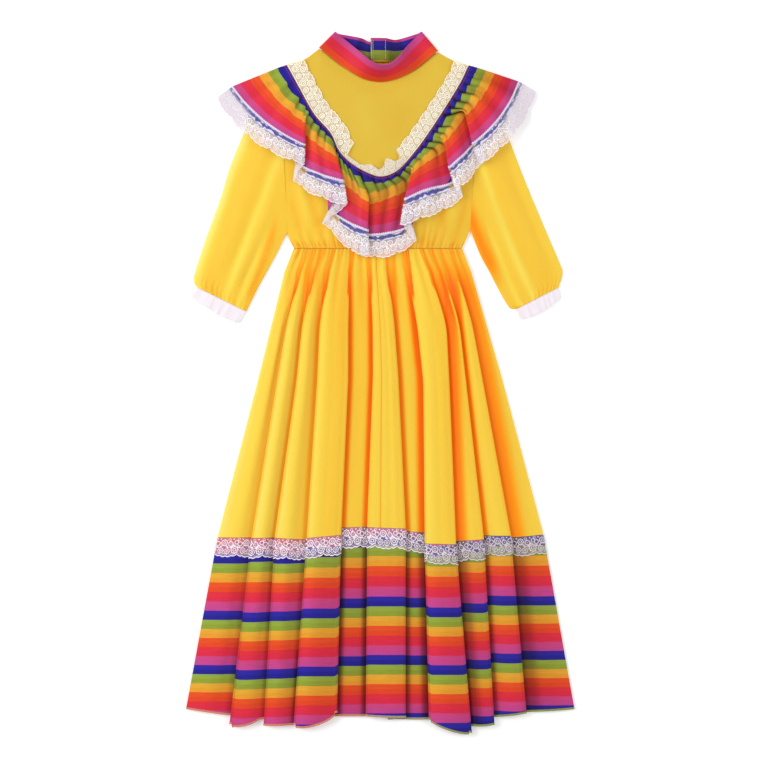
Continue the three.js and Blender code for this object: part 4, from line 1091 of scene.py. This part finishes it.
# Creases of a sleeve: place across at the shoulder and at the cuff, half width, depth, from, to.
SLEEVE_CREASES = dict(
    left=[
        (0.30, 0.34, 0.10, 1.2, 0.05, 0.95), (0.52, 0.50, 0.07, -1.0, 0.25, 0.85),
        (0.66, 0.64, 0.07, 1.0, 0.15, 0.95), (0.80, 0.76, 0.05, -1.2, 0.30, 0.92),
        (0.90, 0.88, 0.04, 0.6, 0.30, 0.95), (0.14, 0.18, 0.07, -0.6, 0.20, 0.80),
    ],
    right=[
        (0.34, 0.26, 0.09, 1.1, 0.05, 0.90), (0.50, 0.44, 0.06, -1.0, 0.30, 0.95),
        (0.64, 0.60, 0.07, 1.0, 0.15, 0.95), (0.80, 0.78, 0.05, -1.1, 0.25, 0.90),
        (0.16, 0.14, 0.06, -0.8, 0.30, 0.95), (0.90, 0.90, 0.04, 0.6, 0.30, 0.95),
    ],
)
# Height of a sleeve's upper wall at its sides.
SLEEVE_Z = 2.7
SLEEVE_RINGS = np.concatenate(
    [[0], np.linspace(0.02, 0.1, 5), np.linspace(0.13, 0.8, 26), np.linspace(0.82, 1, 13)]
)


# 1 between the sides of a tube, and 0 at them.
def off_sides(us, reach):
    return ease(0, reach, us) * ease(0, reach, 1 - us)


def sleeve(side):
    table = SLEEVES[side]
    left = side == "left"
    sign = -1 if left else 1
    arm = (ARM_LEFT if left else ARM_RIGHT)[:5]
    end_a, end_b = np.array(table["outer"][-1], float), np.array(table["inner"][-1], float)
    gathers = (10, 21 + sign)

    def start(us):
        return on_line(arm, us) + np.array([sign * 0.1, 0])

    def end(us):
        return mix(end_a, end_b, us[:, None])

    # One side of the sleeve, from the arm line's end.
    def side_line(key, at, ws):
        return mix(on_line(table[key], ws), start(at), 1 - ease(0, 0.04, ws)[:, None])

    def plan(us, w):
        sides = (lambda ws: side_line("outer", 0.0, ws), lambda ws: side_line("inner", 1.0, ws))
        return patch(start, end, *sides, np.atleast_1d(us), np.array([w]))[0]

    def creases(us, w):
        total = np.zeros(len(np.atleast_1d(us)))
        for a, b, wide, deep, first, stop in SLEEVE_CREASES[side]:
            run = ease(first - 0.1, first + 0.15, w) * (1 - ease(stop - 0.2, stop, w))
            total += deep * run * bump(us, mix(a, b, w), wide)
        return total

    def height(us, w):
        arch = np.sin(np.pi * np.clip(us, 0, 1))
        dome = 2.2 * arch ** 0.7 * (1 - 0.45 * ease(0.8, 1, w))
        gather = 1.3 * ridges(us, *gathers) * ease(0.88, 0.98, w) * off_sides(us, 0.08)
        return SLEEVE_Z + dome + creases(us, w) * ease(0, 0.1, np.minimum(us, 1 - us)) + gather

    # The sleeve's tone is painted light: painted highlights along its outer edge and in bands down it,
    # painted shade in a valley near its inner side and between the gathers at the cuff, and painted light
    # and shade on its creases.
    def tone_at(us, w):
        us = np.atleast_1d(us)
        t = 0.54 + (0.46 if left else 0.12) * bump(us, 0, 0.12) + 0.26 * bump(us, mix(0.50, 0.60, w), 0.07)
        t = t - 0.04 * bump(us, 0.30, 0.10) + 0.24 * bump(us, mix(0.72, 0.84, w), 0.05) * ease(0.2, 0.5, w)
        if left:
            valley = 0.20 * bump(us, mix(0.80, 0.98, w), 0.07) * ease(0.10, 0.3, w) * (1 - ease(0.75, 1, w))
        else:
            valley = 0.40 * bump(us, 0.93, 0.10) * (1 - ease(0.42, 0.80, w))
        t = t - valley + 0.04 * creases(us, w) - 0.20 * ease(0.89, 0.98, w) * valleys(us, *gathers, 2)
        return t if len(t) > 1 else float(t[0])

    name = f"sleeve_{side}"
    obj, flat = tube(f"{name}_cloth", plan, SLEEVE_RINGS, 73, height, CLOTH, YELLOW, tone_at, not left)
    cloth(name, flat)

    along_cuff = (end_b - end_a) / np.linalg.norm(end_b - end_a)
    down = sign * np.array([-along_cuff[1], along_cuff[0]])

    def lace_plan(us, w):
        us = np.atleast_1d(us)
        a = end(us) + down * (GAP + 0.1)
        b = on_line(table["lace"], us)
        scallops = np.abs(np.sin(us * np.pi * 13)) ** 0.7 - 0.6
        wave = (1.5 * scallops + 1.3 * wander(us * 6, 3 + sign)) * w * off_sides(us, 0.1)
        return mix(a, b, w) + (b - a) / np.linalg.norm(b - a, axis=1, keepdims=True) * wave[:, None]

    def frill(us, w):
        arch = np.sin(np.pi * np.clip(us, 0, 1)) ** 0.7
        return SLEEVE_Z + 1.1 * arch + (0.4 + 1.2 * w) * ridges(us, 5, 27 + sign) * off_sides(us, 0.06)

    # The net is closer on its ridges, and so painted a little greyer there, in shade.
    def cuff_tone(us, w):
        return 0.46 + 0.12 * ridges(np.asarray(us), 5, 33 + sign) * (1 - 0.6 * w)

    name, rings = f"cuff_lace_{side}", np.linspace(0, 1, 12)
    obj, flat = tube(f"{name}_net", lace_plan, rings, 97, frill, 0.5, NET_CUFF, cuff_tone, not left, 97)
    cloth(name, flat)


for side in ("left", "right"):
    sleeve(side)


# Ruffle. A value or place at v down it, from those at its seam, hem and lace's edge.
def down_ruffle(seam, hem, lace, v):
    seam, hem, lace = (np.asarray(p, float) for p in (seam, hem, lace))
    return mix(seam, hem, v) if v <= 1 else mix(hem, lace, (v - 1) / (RUFFLE_LACE_END - 1))


# How far a place lies outside the upper edges of the sleeves.
def beyond_sleeve(x, y):
    left = -(x + 154) * 0.924 + (y - 436) * 0.386
    right = (x - 144.2) * 0.934 + (y - 436.1) * 0.358
    return np.maximum(left, right)


def ruffle_line(key):
    return lambda e, v: down_ruffle(RUFFLE_EDGES[e]["at"], *RUFFLE_EDGES[e][key], v)


def ruffle_way(e):
    row = RUFFLE_EDGES[e]
    axis = np.array(row["edge"][0], float) - np.array(row["at"], float)
    axis /= np.linalg.norm(axis)
    side = 1 if row["top"] == "right" else -1
    return np.array([-axis[1] * side, axis[0] * side])


# The ruffle lies lower at its seam, and where it hangs out past the sleeves.
def ruffle_base(x, y, v):
    return RUFFLE_Z - 1.1 * (1 - float(ease(0, 0.2, v))) - 4.6 * float(ease(-2, 50, beyond_sleeve(x, y)))


RUFFLE = dict(
    folds=RUFFLE_FOLDS,
    edges=RUFFLE_EDGES,
    way=ruffle_way,
    edge=ruffle_line("edge"),
    under=ruffle_line("under"),
    low=ruffle_line("low"),
    ends=lambda v: (down_ruffle(*RUFFLE_LEFT, v), down_ruffle(*RUFFLE_RIGHT, v)),
    bow=lambda i, v: down_ruffle(0, *RUFFLE_FOLDS[i]["bow"], v),
    low_hump=lambda i: 1.5 if i in (0, len(RUFFLE_FOLDS) - 1) else 1.6,
    base=ruffle_base,
    start=lambda g: on_line(RUFFLE_SEAM, g)[0],
    blend=lambda v: ease(0, 0.5, v),
)
RUFFLE_COLUMNS = columns_of(RUFFLE_FOLDS, RUFFLE_EDGES)
RUFFLE_FINE = 5
RUFFLE_G, RUFFLE_FOLD, RUFFLE_U = column_facts(RUFFLE_COLUMNS, RUFFLE_FINE)
RUFFLE_CREASES = dict(
    R1=[(0.20, 0.07, -1.0, 0.1, 1.45), (0.36, 0.07, 1.0, 0.05, 1.45), (0.52, 0.07, -1.1, 0.05, 1.45),
        (0.68, 0.07, 0.9, 0.1, 1.45), (0.85, 0.06, -0.9, 0.1, 1.3)],
    R2=[(0.25, 0.10, 0.9, 0.1, 1.4), (0.50, 0.10, -1.2, 0.1, 1.45), (0.75, 0.10, 0.8, 0.2, 1.45)],
    R3=[(0.30, 0.12, 0.8, 0.1, 1.45), (0.60, 0.10, -1.0, 0.1, 1.45), (0.82, 0.08, 0.8, 0.2, 1.4)],
    R4=[(0.20, 0.08, 0.9, 0.1, 1.45), (0.38, 0.08, -1.0, 0.1, 1.4), (0.58, 0.08, 1.0, 0.1, 1.45),
        (0.78, 0.08, -1.0, 0.1, 1.45)],
    R5=[(0.30, 0.10, -0.9, 0.1, 1.45), (0.55, 0.10, 1.0, 0.1, 1.4), (0.80, 0.08, -0.9, 0.2, 1.45)],
    R6=[(0.35, 0.14, 0.8, 0.1, 1.4), (0.70, 0.12, -0.9, 0.1, 1.45)],
    R7=[(0.15, 0.06, -0.9, 0.1, 1.3), (0.32, 0.07, 1.0, 0.05, 1.45), (0.50, 0.07, -1.1, 0.05, 1.45),
        (0.66, 0.07, 1.0, 0.1, 1.45), (0.84, 0.06, -0.9, 0.1, 1.45)],
)
RUFFLE_ROWS = np.concatenate(
    [np.linspace(0, 0.12, 8), np.linspace(0.16, 1.0, 22), np.linspace(1.035, RUFFLE_CLOTH_END, 4)]
)
RUFFLE_ALL_ROWS = np.concatenate([RUFFLE_ROWS, np.linspace(RUFFLE_CLOTH_END + 0.037, RUFFLE_LACE_END, 7)])
cloth_rows = len(RUFFLE_ROWS)
hem_row = list(RUFFLE_ALL_ROWS).index(1.0)
v, g = RUFFLE_ALL_ROWS[:, None], RUFFLE_G[None]
ruffle_all = finer(folded(RUFFLE, RUFFLE_COLUMNS, RUFFLE_ALL_ROWS), RUFFLE_FINE)
fade = 1 - ease(0.08, 0.62 + 0.30 * wander(g * 17, 9), v)
pinch = 0.35 + 0.65 * ease(0, 0.12, v)
ruffle_ridge = ridges(g, *RUFFLE_GATHERS)
ruffle_all[:, :, 2] += 3.4 * ruffle_ridge * fade * pinch
flat_ruffle = ruffle_all[:, :, 2].copy()
ruffle_all = creased(ruffle_all, RUFFLE_ALL_ROWS, RUFFLE_FOLD, RUFFLE_U, RUFFLE_FOLDS, RUFFLE_CREASES)
# The gathers drag the stripes into small steps: slowly one way and fast back.
STEP_TURN = 0.86
gather = gathered(g, *RUFFLE_GATHERS)
step = gather - np.floor(gather)
step = np.where(step < STEP_TURN, step / STEP_TURN, (1 - step) / (1 - STEP_TURN)) - 0.5
step = step * (4.4 + 2.4 * uneven(np.floor(gather) * 1.3 + 7))
# The ends of the ruffle lie smoother.
calm = (0.15 + 0.85 * ease(0.02, 0.10, g)) * (0.30 + 0.70 * ease(0.03, 0.12, 1 - g))
step = step * calm
# The last stripe is narrower; its blue comes again just below the lace's border.
stripe_v = np.where(v > 1, 0.95 + 1.12 * (v - 1), 0.95 * v)
ruffle_uv = lengths(ruffle_all)
ruffle_uv[:, :, 1] = stripe_v * REPEAT + 0.6 + step * ease(0, 0.08, v) * (1 - ease(0.2, 0.85, v))
high = (ruffle_all[:, :, 2] - RUFFLE_Z) / FOLD_RISE
# The ruffle's tone is painted light: painted light and shade on its creases, painted shade in the valleys
# between its gathers and painted light on their ridges, a tone painted per fold, and higher folds painted
# lighter.
crease_painted_light = 0.13 * (ruffle_all[:, :, 2] - flat_ruffle)
gather_painted_light = 0.80 * calm * valleys(g, *RUFFLE_GATHERS, 4) * (1 - ease(0.15, 0.75, v))
gather_painted_light = 0.10 * ruffle_ridge * fade - gather_painted_light
fold_painted_light = column_values(RUFFLE_COLUMNS, RUFFLE_FINE, lambda i: RUFFLE_FOLDS[i]["tone"])[None]
ruffle_painted_light = fold_painted_light + crease_painted_light + gather_painted_light + 0.16 * np.clip(high, -0.8, 1) * ease(0.05, 0.6, v)


# Pulls part of the ruffle up to one of its rows.
def drawn_up(grid, row, share):
    return grid + (grid[row][None] - grid) * share[:, :, None]


# Where a fold turns under, the cloth behind the lace ends sooner, so that the lace alone shows,
# and its lower corner ends sooner still.
turned = np.convolve(RUFFLE_FOLD < 0, np.ones(5) / 5, "same")[None]
corner_row = hem_row - 4
ruffle_cut = drawn_up(ruffle_all, hem_row, (v > 1) * turned * 0.8)
below_corner = v > RUFFLE_ALL_ROWS[corner_row]
ruffle_cut = drawn_up(ruffle_cut, corner_row, turned * (1 - ease(0.35, 0.65, high)) * below_corner * 0.9)
upper, lower = (moved(ruffle_cut, away)[:cloth_rows] for away in (CLOTH / 2, -CLOTH / 2))
obj = between("ruffle_cloth", upper, lower, ruffle_uv[:cloth_rows], STRIPED, ruffle_painted_light[:cloth_rows])
cloth("ruffle", cut_of(ruffle_all[:cloth_rows]))


# Lace. A pattern is a field over a flat strip, a along it and b across it, in millimetres: there
# is cloth where it is above nought. Its outline is traced in small cells.
CELL_SHAPES = {
    1: [[0, 4, 7]], 2: [[1, 5, 4]], 3: [[0, 1, 5, 7]], 4: [[2, 6, 5]], 5: [[0, 4, 7], [2, 6, 5]],
    6: [[1, 2, 6, 4]],
    7: [[0, 1, 2, 6, 7]], 8: [[3, 7, 6]], 9: [[0, 4, 6, 3]], 10: [[1, 5, 4], [3, 7, 6]],
    11: [[0, 1, 5, 6, 3]],
    12: [[2, 3, 7, 5]], 13: [[0, 4, 5, 2, 3]], 14: [[1, 2, 3, 7, 4]], 15: [[0, 1, 2, 3]],
}


def traced(field, long, wide, cell):
    na, nb = int(math.ceil(long / cell)), int(math.ceil(wide / cell))
    a, b = np.meshgrid(np.linspace(0, long, na + 1), np.linspace(0, wide, nb + 1), indexing="ij")
    f = field(a, b)
    f = np.where(np.abs(f) < 1e-6, 1e-6, f)
    inside = f > 0
    node = np.arange((na + 1) * (nb + 1)).reshape(na + 1, nb + 1)
    first_h = node.size
    run_h = first_h + np.arange(na * (nb + 1)).reshape(na, nb + 1)
    run_v = first_h + na * (nb + 1) + np.arange((na + 1) * nb).reshape(na + 1, nb)

    def cross(v0, v1, f0, f1):
        with np.errstate(divide="ignore", invalid="ignore"):
            t = np.clip(np.where(f0 != f1, f0 / (f0 - f1), 0.5), 0.04, 0.96)
        return mix(v0, v1, t)

    cross_a = cross(a[:-1], a[1:], f[:-1], f[1:])
    cross_b = cross(b[:, :-1], b[:, 1:], f[:, :-1], f[:, 1:])
    pa = np.concatenate([a.ravel(), cross_a.ravel(), a[:, :-1].ravel()])
    pb = np.concatenate([b.ravel(), b[:-1].ravel(), cross_b.ravel()])
    corner = [node[:-1, :-1], node[1:, :-1], node[1:, 1:], node[:-1, 1:]]
    local = np.stack(corner + [run_h[:, :-1], run_v[1:], run_h[:, 1:], run_v[:-1]], -1)
    case = sum(inside.ravel()[c].astype(int) << k for k, c in enumerate(corner))
    faces = []
    for number, shapes in CELL_SHAPES.items():
        cells = local[case == number]
        for shape in shapes:
            faces += cells[:, shape].tolist()
    used = np.unique(np.concatenate([np.asarray(x) for x in faces])) if faces else np.array([], int)
    renumber = np.full(pa.size, -1)
    renumber[used] = np.arange(used.size)
    renumber = renumber.tolist()
    faces = [[renumber[i] for i in f] for f in faces]
    return pa[used], pb[used], faces


# Rings of thread, and discs where the radius is 0: place along the repeat, place across the lace,
# radius and thickness.
def ring_threads(a, b, pitch, table):
    f = np.full(np.shape(a), -1e3)
    for at, up, radius, thread in table:
        off = (a - at) / pitch
        off = (off - np.round(off)) * pitch
        petals = 1 + 0.13 * np.cos(8 * np.arctan2(b - up, off)) if radius > 2.5 else 1
        f = np.maximum(f, thread / 2 - np.abs(np.hypot(off, b - up) - radius * petals))
    return f


# A lace's width, the length of its waves and of the small scallops in them, and the depth of both.
# Its motifs: threads that follow its edge, by distance from it and half thickness; a wavy stem, by
# its place, swing, wave and half thickness; rings; and a strip of its own pattern.
SKIRT_LACE = dict(wide=28.5, wave=30.4, small=7.6, deep=3.4, tiny=1.7, threads=[(0.9, 0.80), (3.5, 0.40)])
SKIRT_LACE["stem"] = (12.8, 1.7, 15.2, 0.42)
SKIRT_LACE["rings"] = [
    (7.4, 18.6, 3.5, 1.2), (7.4, 18.6, 1.3, 1.0), (16.4, 19.6, 3.5, 1.2), (16.4, 19.6, 1.3, 1.0),
    (26.6, 17.4, 4.5, 1.5), (26.6, 17.4, 2.0, 1.1), (2.6, 8.8, 2.9, 1.3), (11.4, 7.4, 4.0, 1.5),
    (11.4, 7.4, 1.6, 1.0), (20.6, 9.2, 3.1, 1.4), (20.6, 9.2, 0, 1.8), (28.4, 6.6, 2.5, 1.2),
    (15.6, 13.2, 0, 3.0), (21.8, 14.2, 0, 2.8), (2.4, 14.0, 0, 3.0), (24.6, 10.2, 0, 2.4),
    (7.0, 13.0, 0, 2.4),
    (6.0, 2.2, 0, 2.4), (18.6, 3.4, 1.7, 0.9), (24.4, 2.2, 0, 2.2), (0.6, 2.2, 1.6, 0.9),
    (11.6, 23.0, 0, 1.8),
]


# The lace's whole ground, inside its scalloped edge.
def ground(lace, a, b):
    big = np.abs(np.sin(np.pi * a / lace["wave"])) ** 0.7
    little = np.abs(np.sin(np.pi * a / lace["small"])) ** 0.6
    edge = lace["wide"] - lace["deep"] * (1 - big) - lace["tiny"] * (1 - little)
    return np.minimum(edge - b, b), edge


def motifs(lace, a, b):
    whole, edge = ground(lace, a, b)
    f = ring_threads(a, b, lace["wave"], lace["rings"])
    for inside_edge, half in lace["threads"]:
        f = np.maximum(f, half - np.abs(edge - inside_edge - b))
    if "stem" in lace:
        at, swing, wave, half = lace["stem"]
        f = np.maximum(f, half - np.abs(b - (at + swing * np.sin(2 * np.pi * a / wave))) * 0.9)
    if "strip" in lace:
        f = np.maximum(f, lace["strip"](a, b))
    return np.minimum(f, whole)


# Puts flat strip points on a grid of cloth, at its outer side, away from it.
def on_grid(grid, rows, length_row, a, v, away):
    run = np.concatenate([[0], np.cumsum(np.linalg.norm(np.diff(grid[length_row], axis=0), axis=1))])
    c = np.interp(a, run, np.arange(len(run)))
    r = np.interp(v, rows, np.arange(len(rows)))
    up = moved(grid, away)
    c0, r0 = np.minimum(c.astype(int), grid.shape[1] - 2), np.minimum(r.astype(int), grid.shape[0] - 2)
    tc, tr = (c - c0)[:, None], (r - r0)[:, None]
    return mix(mix(up[r0, c0], up[r0, c0 + 1], tc), mix(up[r0 + 1, c0], up[r0 + 1, c0 + 1], tc), tr)


def run_length(grid, row):
    return float(np.linalg.norm(np.diff(grid[row], axis=0), axis=1).sum())


# The motifs lie this far over the net.
MOTIFS_UP = 0.35


# One lace on a grid of cloth, net and motifs. v_of gives the row's place from the place across the
# lace, cells are the sizes that the motifs and the net are traced in, and look gives tone and shade.
def lace_pair(node, lace, grid, rows, length_row, v_of, cells, away, threads, net, look):
    long, wide = run_length(grid, length_row), lace["wide"]
    pieces = []
    for kind, field, cell, off, material in (
        ("motifs", lambda a, b: motifs(lace, a, b), cells[0], away + MOTIFS_UP, threads),
        ("net", lambda a, b: ground(lace, a, b)[0], cells[1], away, net),
    ):
        a, b, faces = traced(field, long, wide, cell)
        p = on_grid(grid, rows, length_row, a, v_of(b), off)
        tone, shade = look(a, b, p, long)
        uv = np.column_stack([a, b])
        pieces.append(mesh_object(f"{node}_{kind}", p, faces, uv, material, tone, 0, shade))
    area = sum(face.area for face in pieces[1].data.polygons)
    cloth(node, (long / 1000, wide / 1000, area))


lace_rows = BAND_ROWS[BAND_ROWS <= 1.2]
# The skirt's lace is painted darker towards the right, a painted shade.
lace_pair(
    "skirt_lace", SKIRT_LACE, band_all[:len(lace_rows)], lace_rows, 0, lambda b: 1 + b / BAND_DEPTH,
    (0.85, 1.6), 1.0, LACE_SKIRT, NET_SKIRT,
    lambda a, b, p, long: (a * 0 + 0.5, 1 - 0.26 * ease(20, 120, p[:, 0])),
)


# Blotches of the cloth's own blue, in a broken wavy line below the lace's border.
def blotches(a, b):
    line = 6.4 + 1.0 * wander(a / 5.2, 3) + 0.4 * wander(a / 2.1, 4)
    thick = 2.3 + 1.2 * wander(a / 3.4, 5)
    return thick - np.abs(b - line)


# The ruffle's lace has two threads, a row of dots and a close strip with the blotches left open.
def ruffle_strip(a, b):
    strip = np.minimum(np.minimum(b - 4.4, 10.4 - b), -blotches(a, b))
    threads = np.maximum(0.5 - np.abs(b - 2.7), 0.34 - np.abs(b - 1.5))
    return np.maximum(np.maximum(strip, threads), ring_threads(a, b, 3.2, [(1.6, 0.9, 0, 2.2)]))


RUFFLE_LACE = dict(wide=36.0, wave=32.0, small=8.0, deep=3.8, tiny=1.8, threads=[(0.8, 0.62), (2.9, 0.36)])
RUFFLE_LACE["stem"] = (20.8, 1.8, 16.0, 0.34)
RUFFLE_LACE["strip"] = ruffle_strip
RUFFLE_LACE["rings"] = [
    (8.0, 25.6, 3.6, 1.2), (8.0, 25.6, 1.5, 1.0), (18.0, 26.8, 3.6, 1.2), (18.0, 26.8, 1.5, 1.0),
    (28.0, 24.6, 4.3, 1.4), (28.0, 24.6, 2.0, 1.0), (3.0, 16.0, 3.4, 1.3), (3.0, 16.0, 1.3, 1.0),
    (13.0, 16.4, 4.4, 1.4), (13.0, 16.4, 2.0, 1.1), (22.6, 16.2, 3.4, 1.3), (22.6, 16.2, 0, 2.0),
    (18.0, 20.6, 0, 2.8), (23.4, 21.4, 0, 2.4), (3.4, 21.6, 0, 2.8), (30.6, 18.4, 0, 2.6),
    (8.2, 19.8, 0, 2.4),
]


# The lace is thin over the blotches and close where nothing lies under it, beyond the sleeves, where it is
# also painted greyer, in shade.
def ruffle_lace_look(a, b, p, long):
    tone = 0.5 - 0.40 * ease(-0.3, 0.8, blotches(a, b))
    tips = ease(-8, 14, beyond_sleeve(p[:, 0], p[:, 1]))
    return tone + (1 - tone) * tips * ease(4, 12, b), a * 0 + 1


lace_pair(
    "ruffle_lace", RUFFLE_LACE, ruffle_all[hem_row:], RUFFLE_ALL_ROWS[hem_row:], 4,
    lambda b: 1 + b / RUFFLE_LACE["wide"] * (RUFFLE_LACE_END - 1), (0.9, 1.3), 1.0, LACE_RUFFLE, NET_RUFFLE,
    ruffle_lace_look,
)

# Yoke lace: along the ruffle seam, its scallops towards the neck, its middle curled up.
YOKE_WIDE = [25.0, 21.0]
YOKE_Z = 6.25
YOKE_WAVES = 23
yoke_g = np.linspace(0, 1, 461)
p = on_line(RUFFLE_SEAM, yoke_g)
a = on_line(RUFFLE_SEAM, np.maximum(0, yoke_g - 0.02))
b = on_line(RUFFLE_SEAM, np.minimum(1, yoke_g + 0.02))
way = (b - a) / np.linalg.norm(b - a, axis=1, keepdims=True)
inward = np.column_stack([-way[:, 1], way[:, 0]])
curl = ease(0.350, 0.375, yoke_g) * (1 - ease(0.605, 0.625, yoke_g))
# Where the lace curls up: places along the seam, and how far each stands out from it.
CURL_G = (0.37, 0.40, 0.435, 0.455, 0.475, 0.495, 0.52, 0.545, 0.565, 0.585, 0.60)
CURL_WIDE = (5, 5.5, 6, 12, 13, 8, 12, 21, 22, 13, 10)
curled = np.convolve(np.pad(np.interp(yoke_g, CURL_G, CURL_WIDE), 4, "edge"), np.ones(9) / 9, "valid")
wide = mix(mix(*YOKE_WIDE, yoke_g), curled, curl)
wave = np.sin(yoke_g * np.pi * 2 * YOKE_WAVES)
yoke_rows = np.linspace(0, 1, 13)
yoke = np.zeros((13, 461, 3))
for r, w in enumerate(yoke_rows[::-1]):
    yoke[r, :, :2] = p + inward * (1 + wide * w)[:, None]
    yoke[r, :, 2] = YOKE_Z + 0.5 * w * wave * (1 - curl) + curl * w * (0.8 + 4.4 * curled / max(CURL_WIDE))

YOKE_LACE = dict(wide=22.5, wave=22.0, small=5.5, deep=2.6, tiny=1.4, threads=[(0.7, 0.6), (2.6, 0.34)])
YOKE_LACE["strip"] = lambda a, b: 0.6 - np.abs(b - 0.7)  # one thread along its seam
YOKE_LACE["rings"] = [
    (5.4, 14.4, 3.5, 1.2), (5.4, 14.4, 1.5, 1.0), (16.4, 14.8, 3.5, 1.2), (16.4, 14.8, 1.5, 1.0),
    (10.8, 6.6, 3.9, 1.3), (10.8, 6.6, 1.8, 1.0), (0, 6.2, 3.2, 1.2), (0, 6.2, 1.2, 1.0),
    (10.8, 13.4, 0, 2.6), (0.4, 12.4, 0, 2.6), (5.4, 8.6, 0, 2.0), (16.4, 8.8, 0, 2.0),
]


# The lace is closer where it curls up, and so painted greyer there, in shade.
def yoke_lace_look(a, b, p, long):
    share = a / long
    return 0.5 + 0.32 * ease(0.35, 0.38, share) * (1 - ease(0.60, 0.63, share)), a * 0 + 1


lace_pair(
    "yoke_lace", YOKE_LACE, yoke, yoke_rows, -1, lambda b: 1 - b / YOKE_LACE["wide"], (0.8, 1.4), 0.0,
    LACE_YOKE, NET_YOKE, yoke_lace_look,
)

# Collar: its stripes run up the outside and on down the inside, and meet at its upper edge.
COLLAR_STRIPES = 75.1
foot, top, heights = np.split(np.array(COLLAR, float), 3, axis=1)
fine = finer(np.column_stack([foot, heights[:, 0], top, heights[:, 1]])[None], 6)[0]
collar = mix(fine[None, :, 3:], fine[None, :, :3], np.linspace(0, 1, 13)[:, None, None])
# At the back its foot goes on below the neckline.
at_back = ease(449, 452, collar[-1, :, 1]) * (np.abs(collar[-1, :, 0]) < 40)
collar[-1, :, 1] -= 3.0 * at_back
run, down = np.moveaxis(lengths(collar), 2, 0)
outside = np.stack([run, COLLAR_STRIPES - down + 2 * REPEAT], axis=2)
inside_uv = np.stack([run, COLLAR_STRIPES + down + 2 * REPEAT], axis=2)
up, low = moved(collar, COLLAR_WALL / 2), moved(collar, -COLLAR_WALL / 2)
# The collar's tone is painted light: painted highlights in a wave along it, and painted shade at its back.
collar_painted_light = 0.64 + 0.08 * np.sin(np.linspace(0, 40, len(fine))) - 0.28 * at_back
collar_painted_light = np.tile(collar_painted_light, (len(collar), 1))
obj = between("collar_cloth", up, low, outside, STRIPED, collar_painted_light, uv_low=inside_uv)
cloth("collar", cut_of(collar))

# Stitches: along the ruffle's seam and the waist, and by the overlap at the back of the collar.
seam_path = moved(ruffle_all, CLOTH / 2 + 0.15)[2]
stitches("ruffle_seam_stitches", seam_path, 3.2, (2.2, 0.8, 0.5), CRIMSON_THREAD)
waist_path = skirt_upper[0, ::2] + np.array([0, 0.1, 0.1])
stitches("waist_seam_stitches", waist_path, 2.3, (1.9, 1.3, 0.5), WAIST_THREAD)
OVERLAP_FROM_Y, OVERLAP_TO_Y, OVERLAP_TOP = 453.0, 481.0, 5.0
for name, x, pitch, size in (
    ("overlap_edge_stitches", -12.0, 1.7, (0.8, 1.9, 0.4)),
    ("overlap_inner_stitches", -9.6, 2.4, (1.5, 0.6, 0.4)),
    ("placket_stitches", 7.6, 3.0, (2.0, 0.6, 0.4)),
):
    path = np.array([[x, OVERLAP_FROM_Y, OVERLAP_TOP], [x, OVERLAP_TO_Y, OVERLAP_TOP]])
    stitches(name, path, pitch, size, PALE_THREAD)

# Floor, light and camera. The floor glows a little, for the photo's plain white ground.
FLOOR_HALF, FLOOR_Z = 9, -0.0004
CAMERA_AT = (0.00525, -0.00345, 2.5427)
scene = bpy.context.scene
floor_mesh = bpy.data.meshes.new("floor")
corners = [(x * FLOOR_HALF, y * FLOOR_HALF, FLOOR_Z) for x, y in ((-1, -1), (1, -1), (1, 1), (-1, 1))]
floor_mesh.from_pydata(corners, [], [(0, 1, 2, 3)])
floor = bpy.data.objects.new("floor", floor_mesh)
scene.collection.objects.link(floor)
floor_nodes = Nodes("floor")
floor_mesh.materials.append(floor_nodes.finished(
    grey(0.93), Emission_Color=grey(1), Emission_Strength=0.18, Roughness=0.9, Specular_IOR_Level=0.1,
))

scene.view_settings.view_transform = "Standard"
scene.world = bpy.data.worlds.new("studio")
scene.world.use_nodes = True
background = scene.world.node_tree.nodes["Background"]
background.inputs["Color"].default_value = grey(1)
background.inputs["Strength"].default_value = 0.52


# A round light that points at the middle of the dress.
def area_light(name, at, size, power):
    data = bpy.data.lights.new(name, "AREA")
    data.shape = "DISK"
    data.size = size
    data.energy = power
    obj = bpy.data.objects.new(name, data)
    scene.collection.objects.link(obj)
    obj.location = at
    obj.rotation_mode = "QUATERNION"
    obj.rotation_quaternion = (-Vector(at)).to_track_quat("-Z", "Y")


area_light("key", (-2.1, 0.7, 1.8), 2.2, 55)
area_light("fill", (2.2, 0.2, 1.9), 1.8, 28)

camera_data = bpy.data.cameras.new("camera")
camera_data.lens = 85
camera_data.sensor_width = 36
camera_data.clip_end = 100
camera = bpy.data.objects.new("camera", camera_data)
scene.collection.objects.link(camera)
camera.location = CAMERA_AT
scene.camera = camera
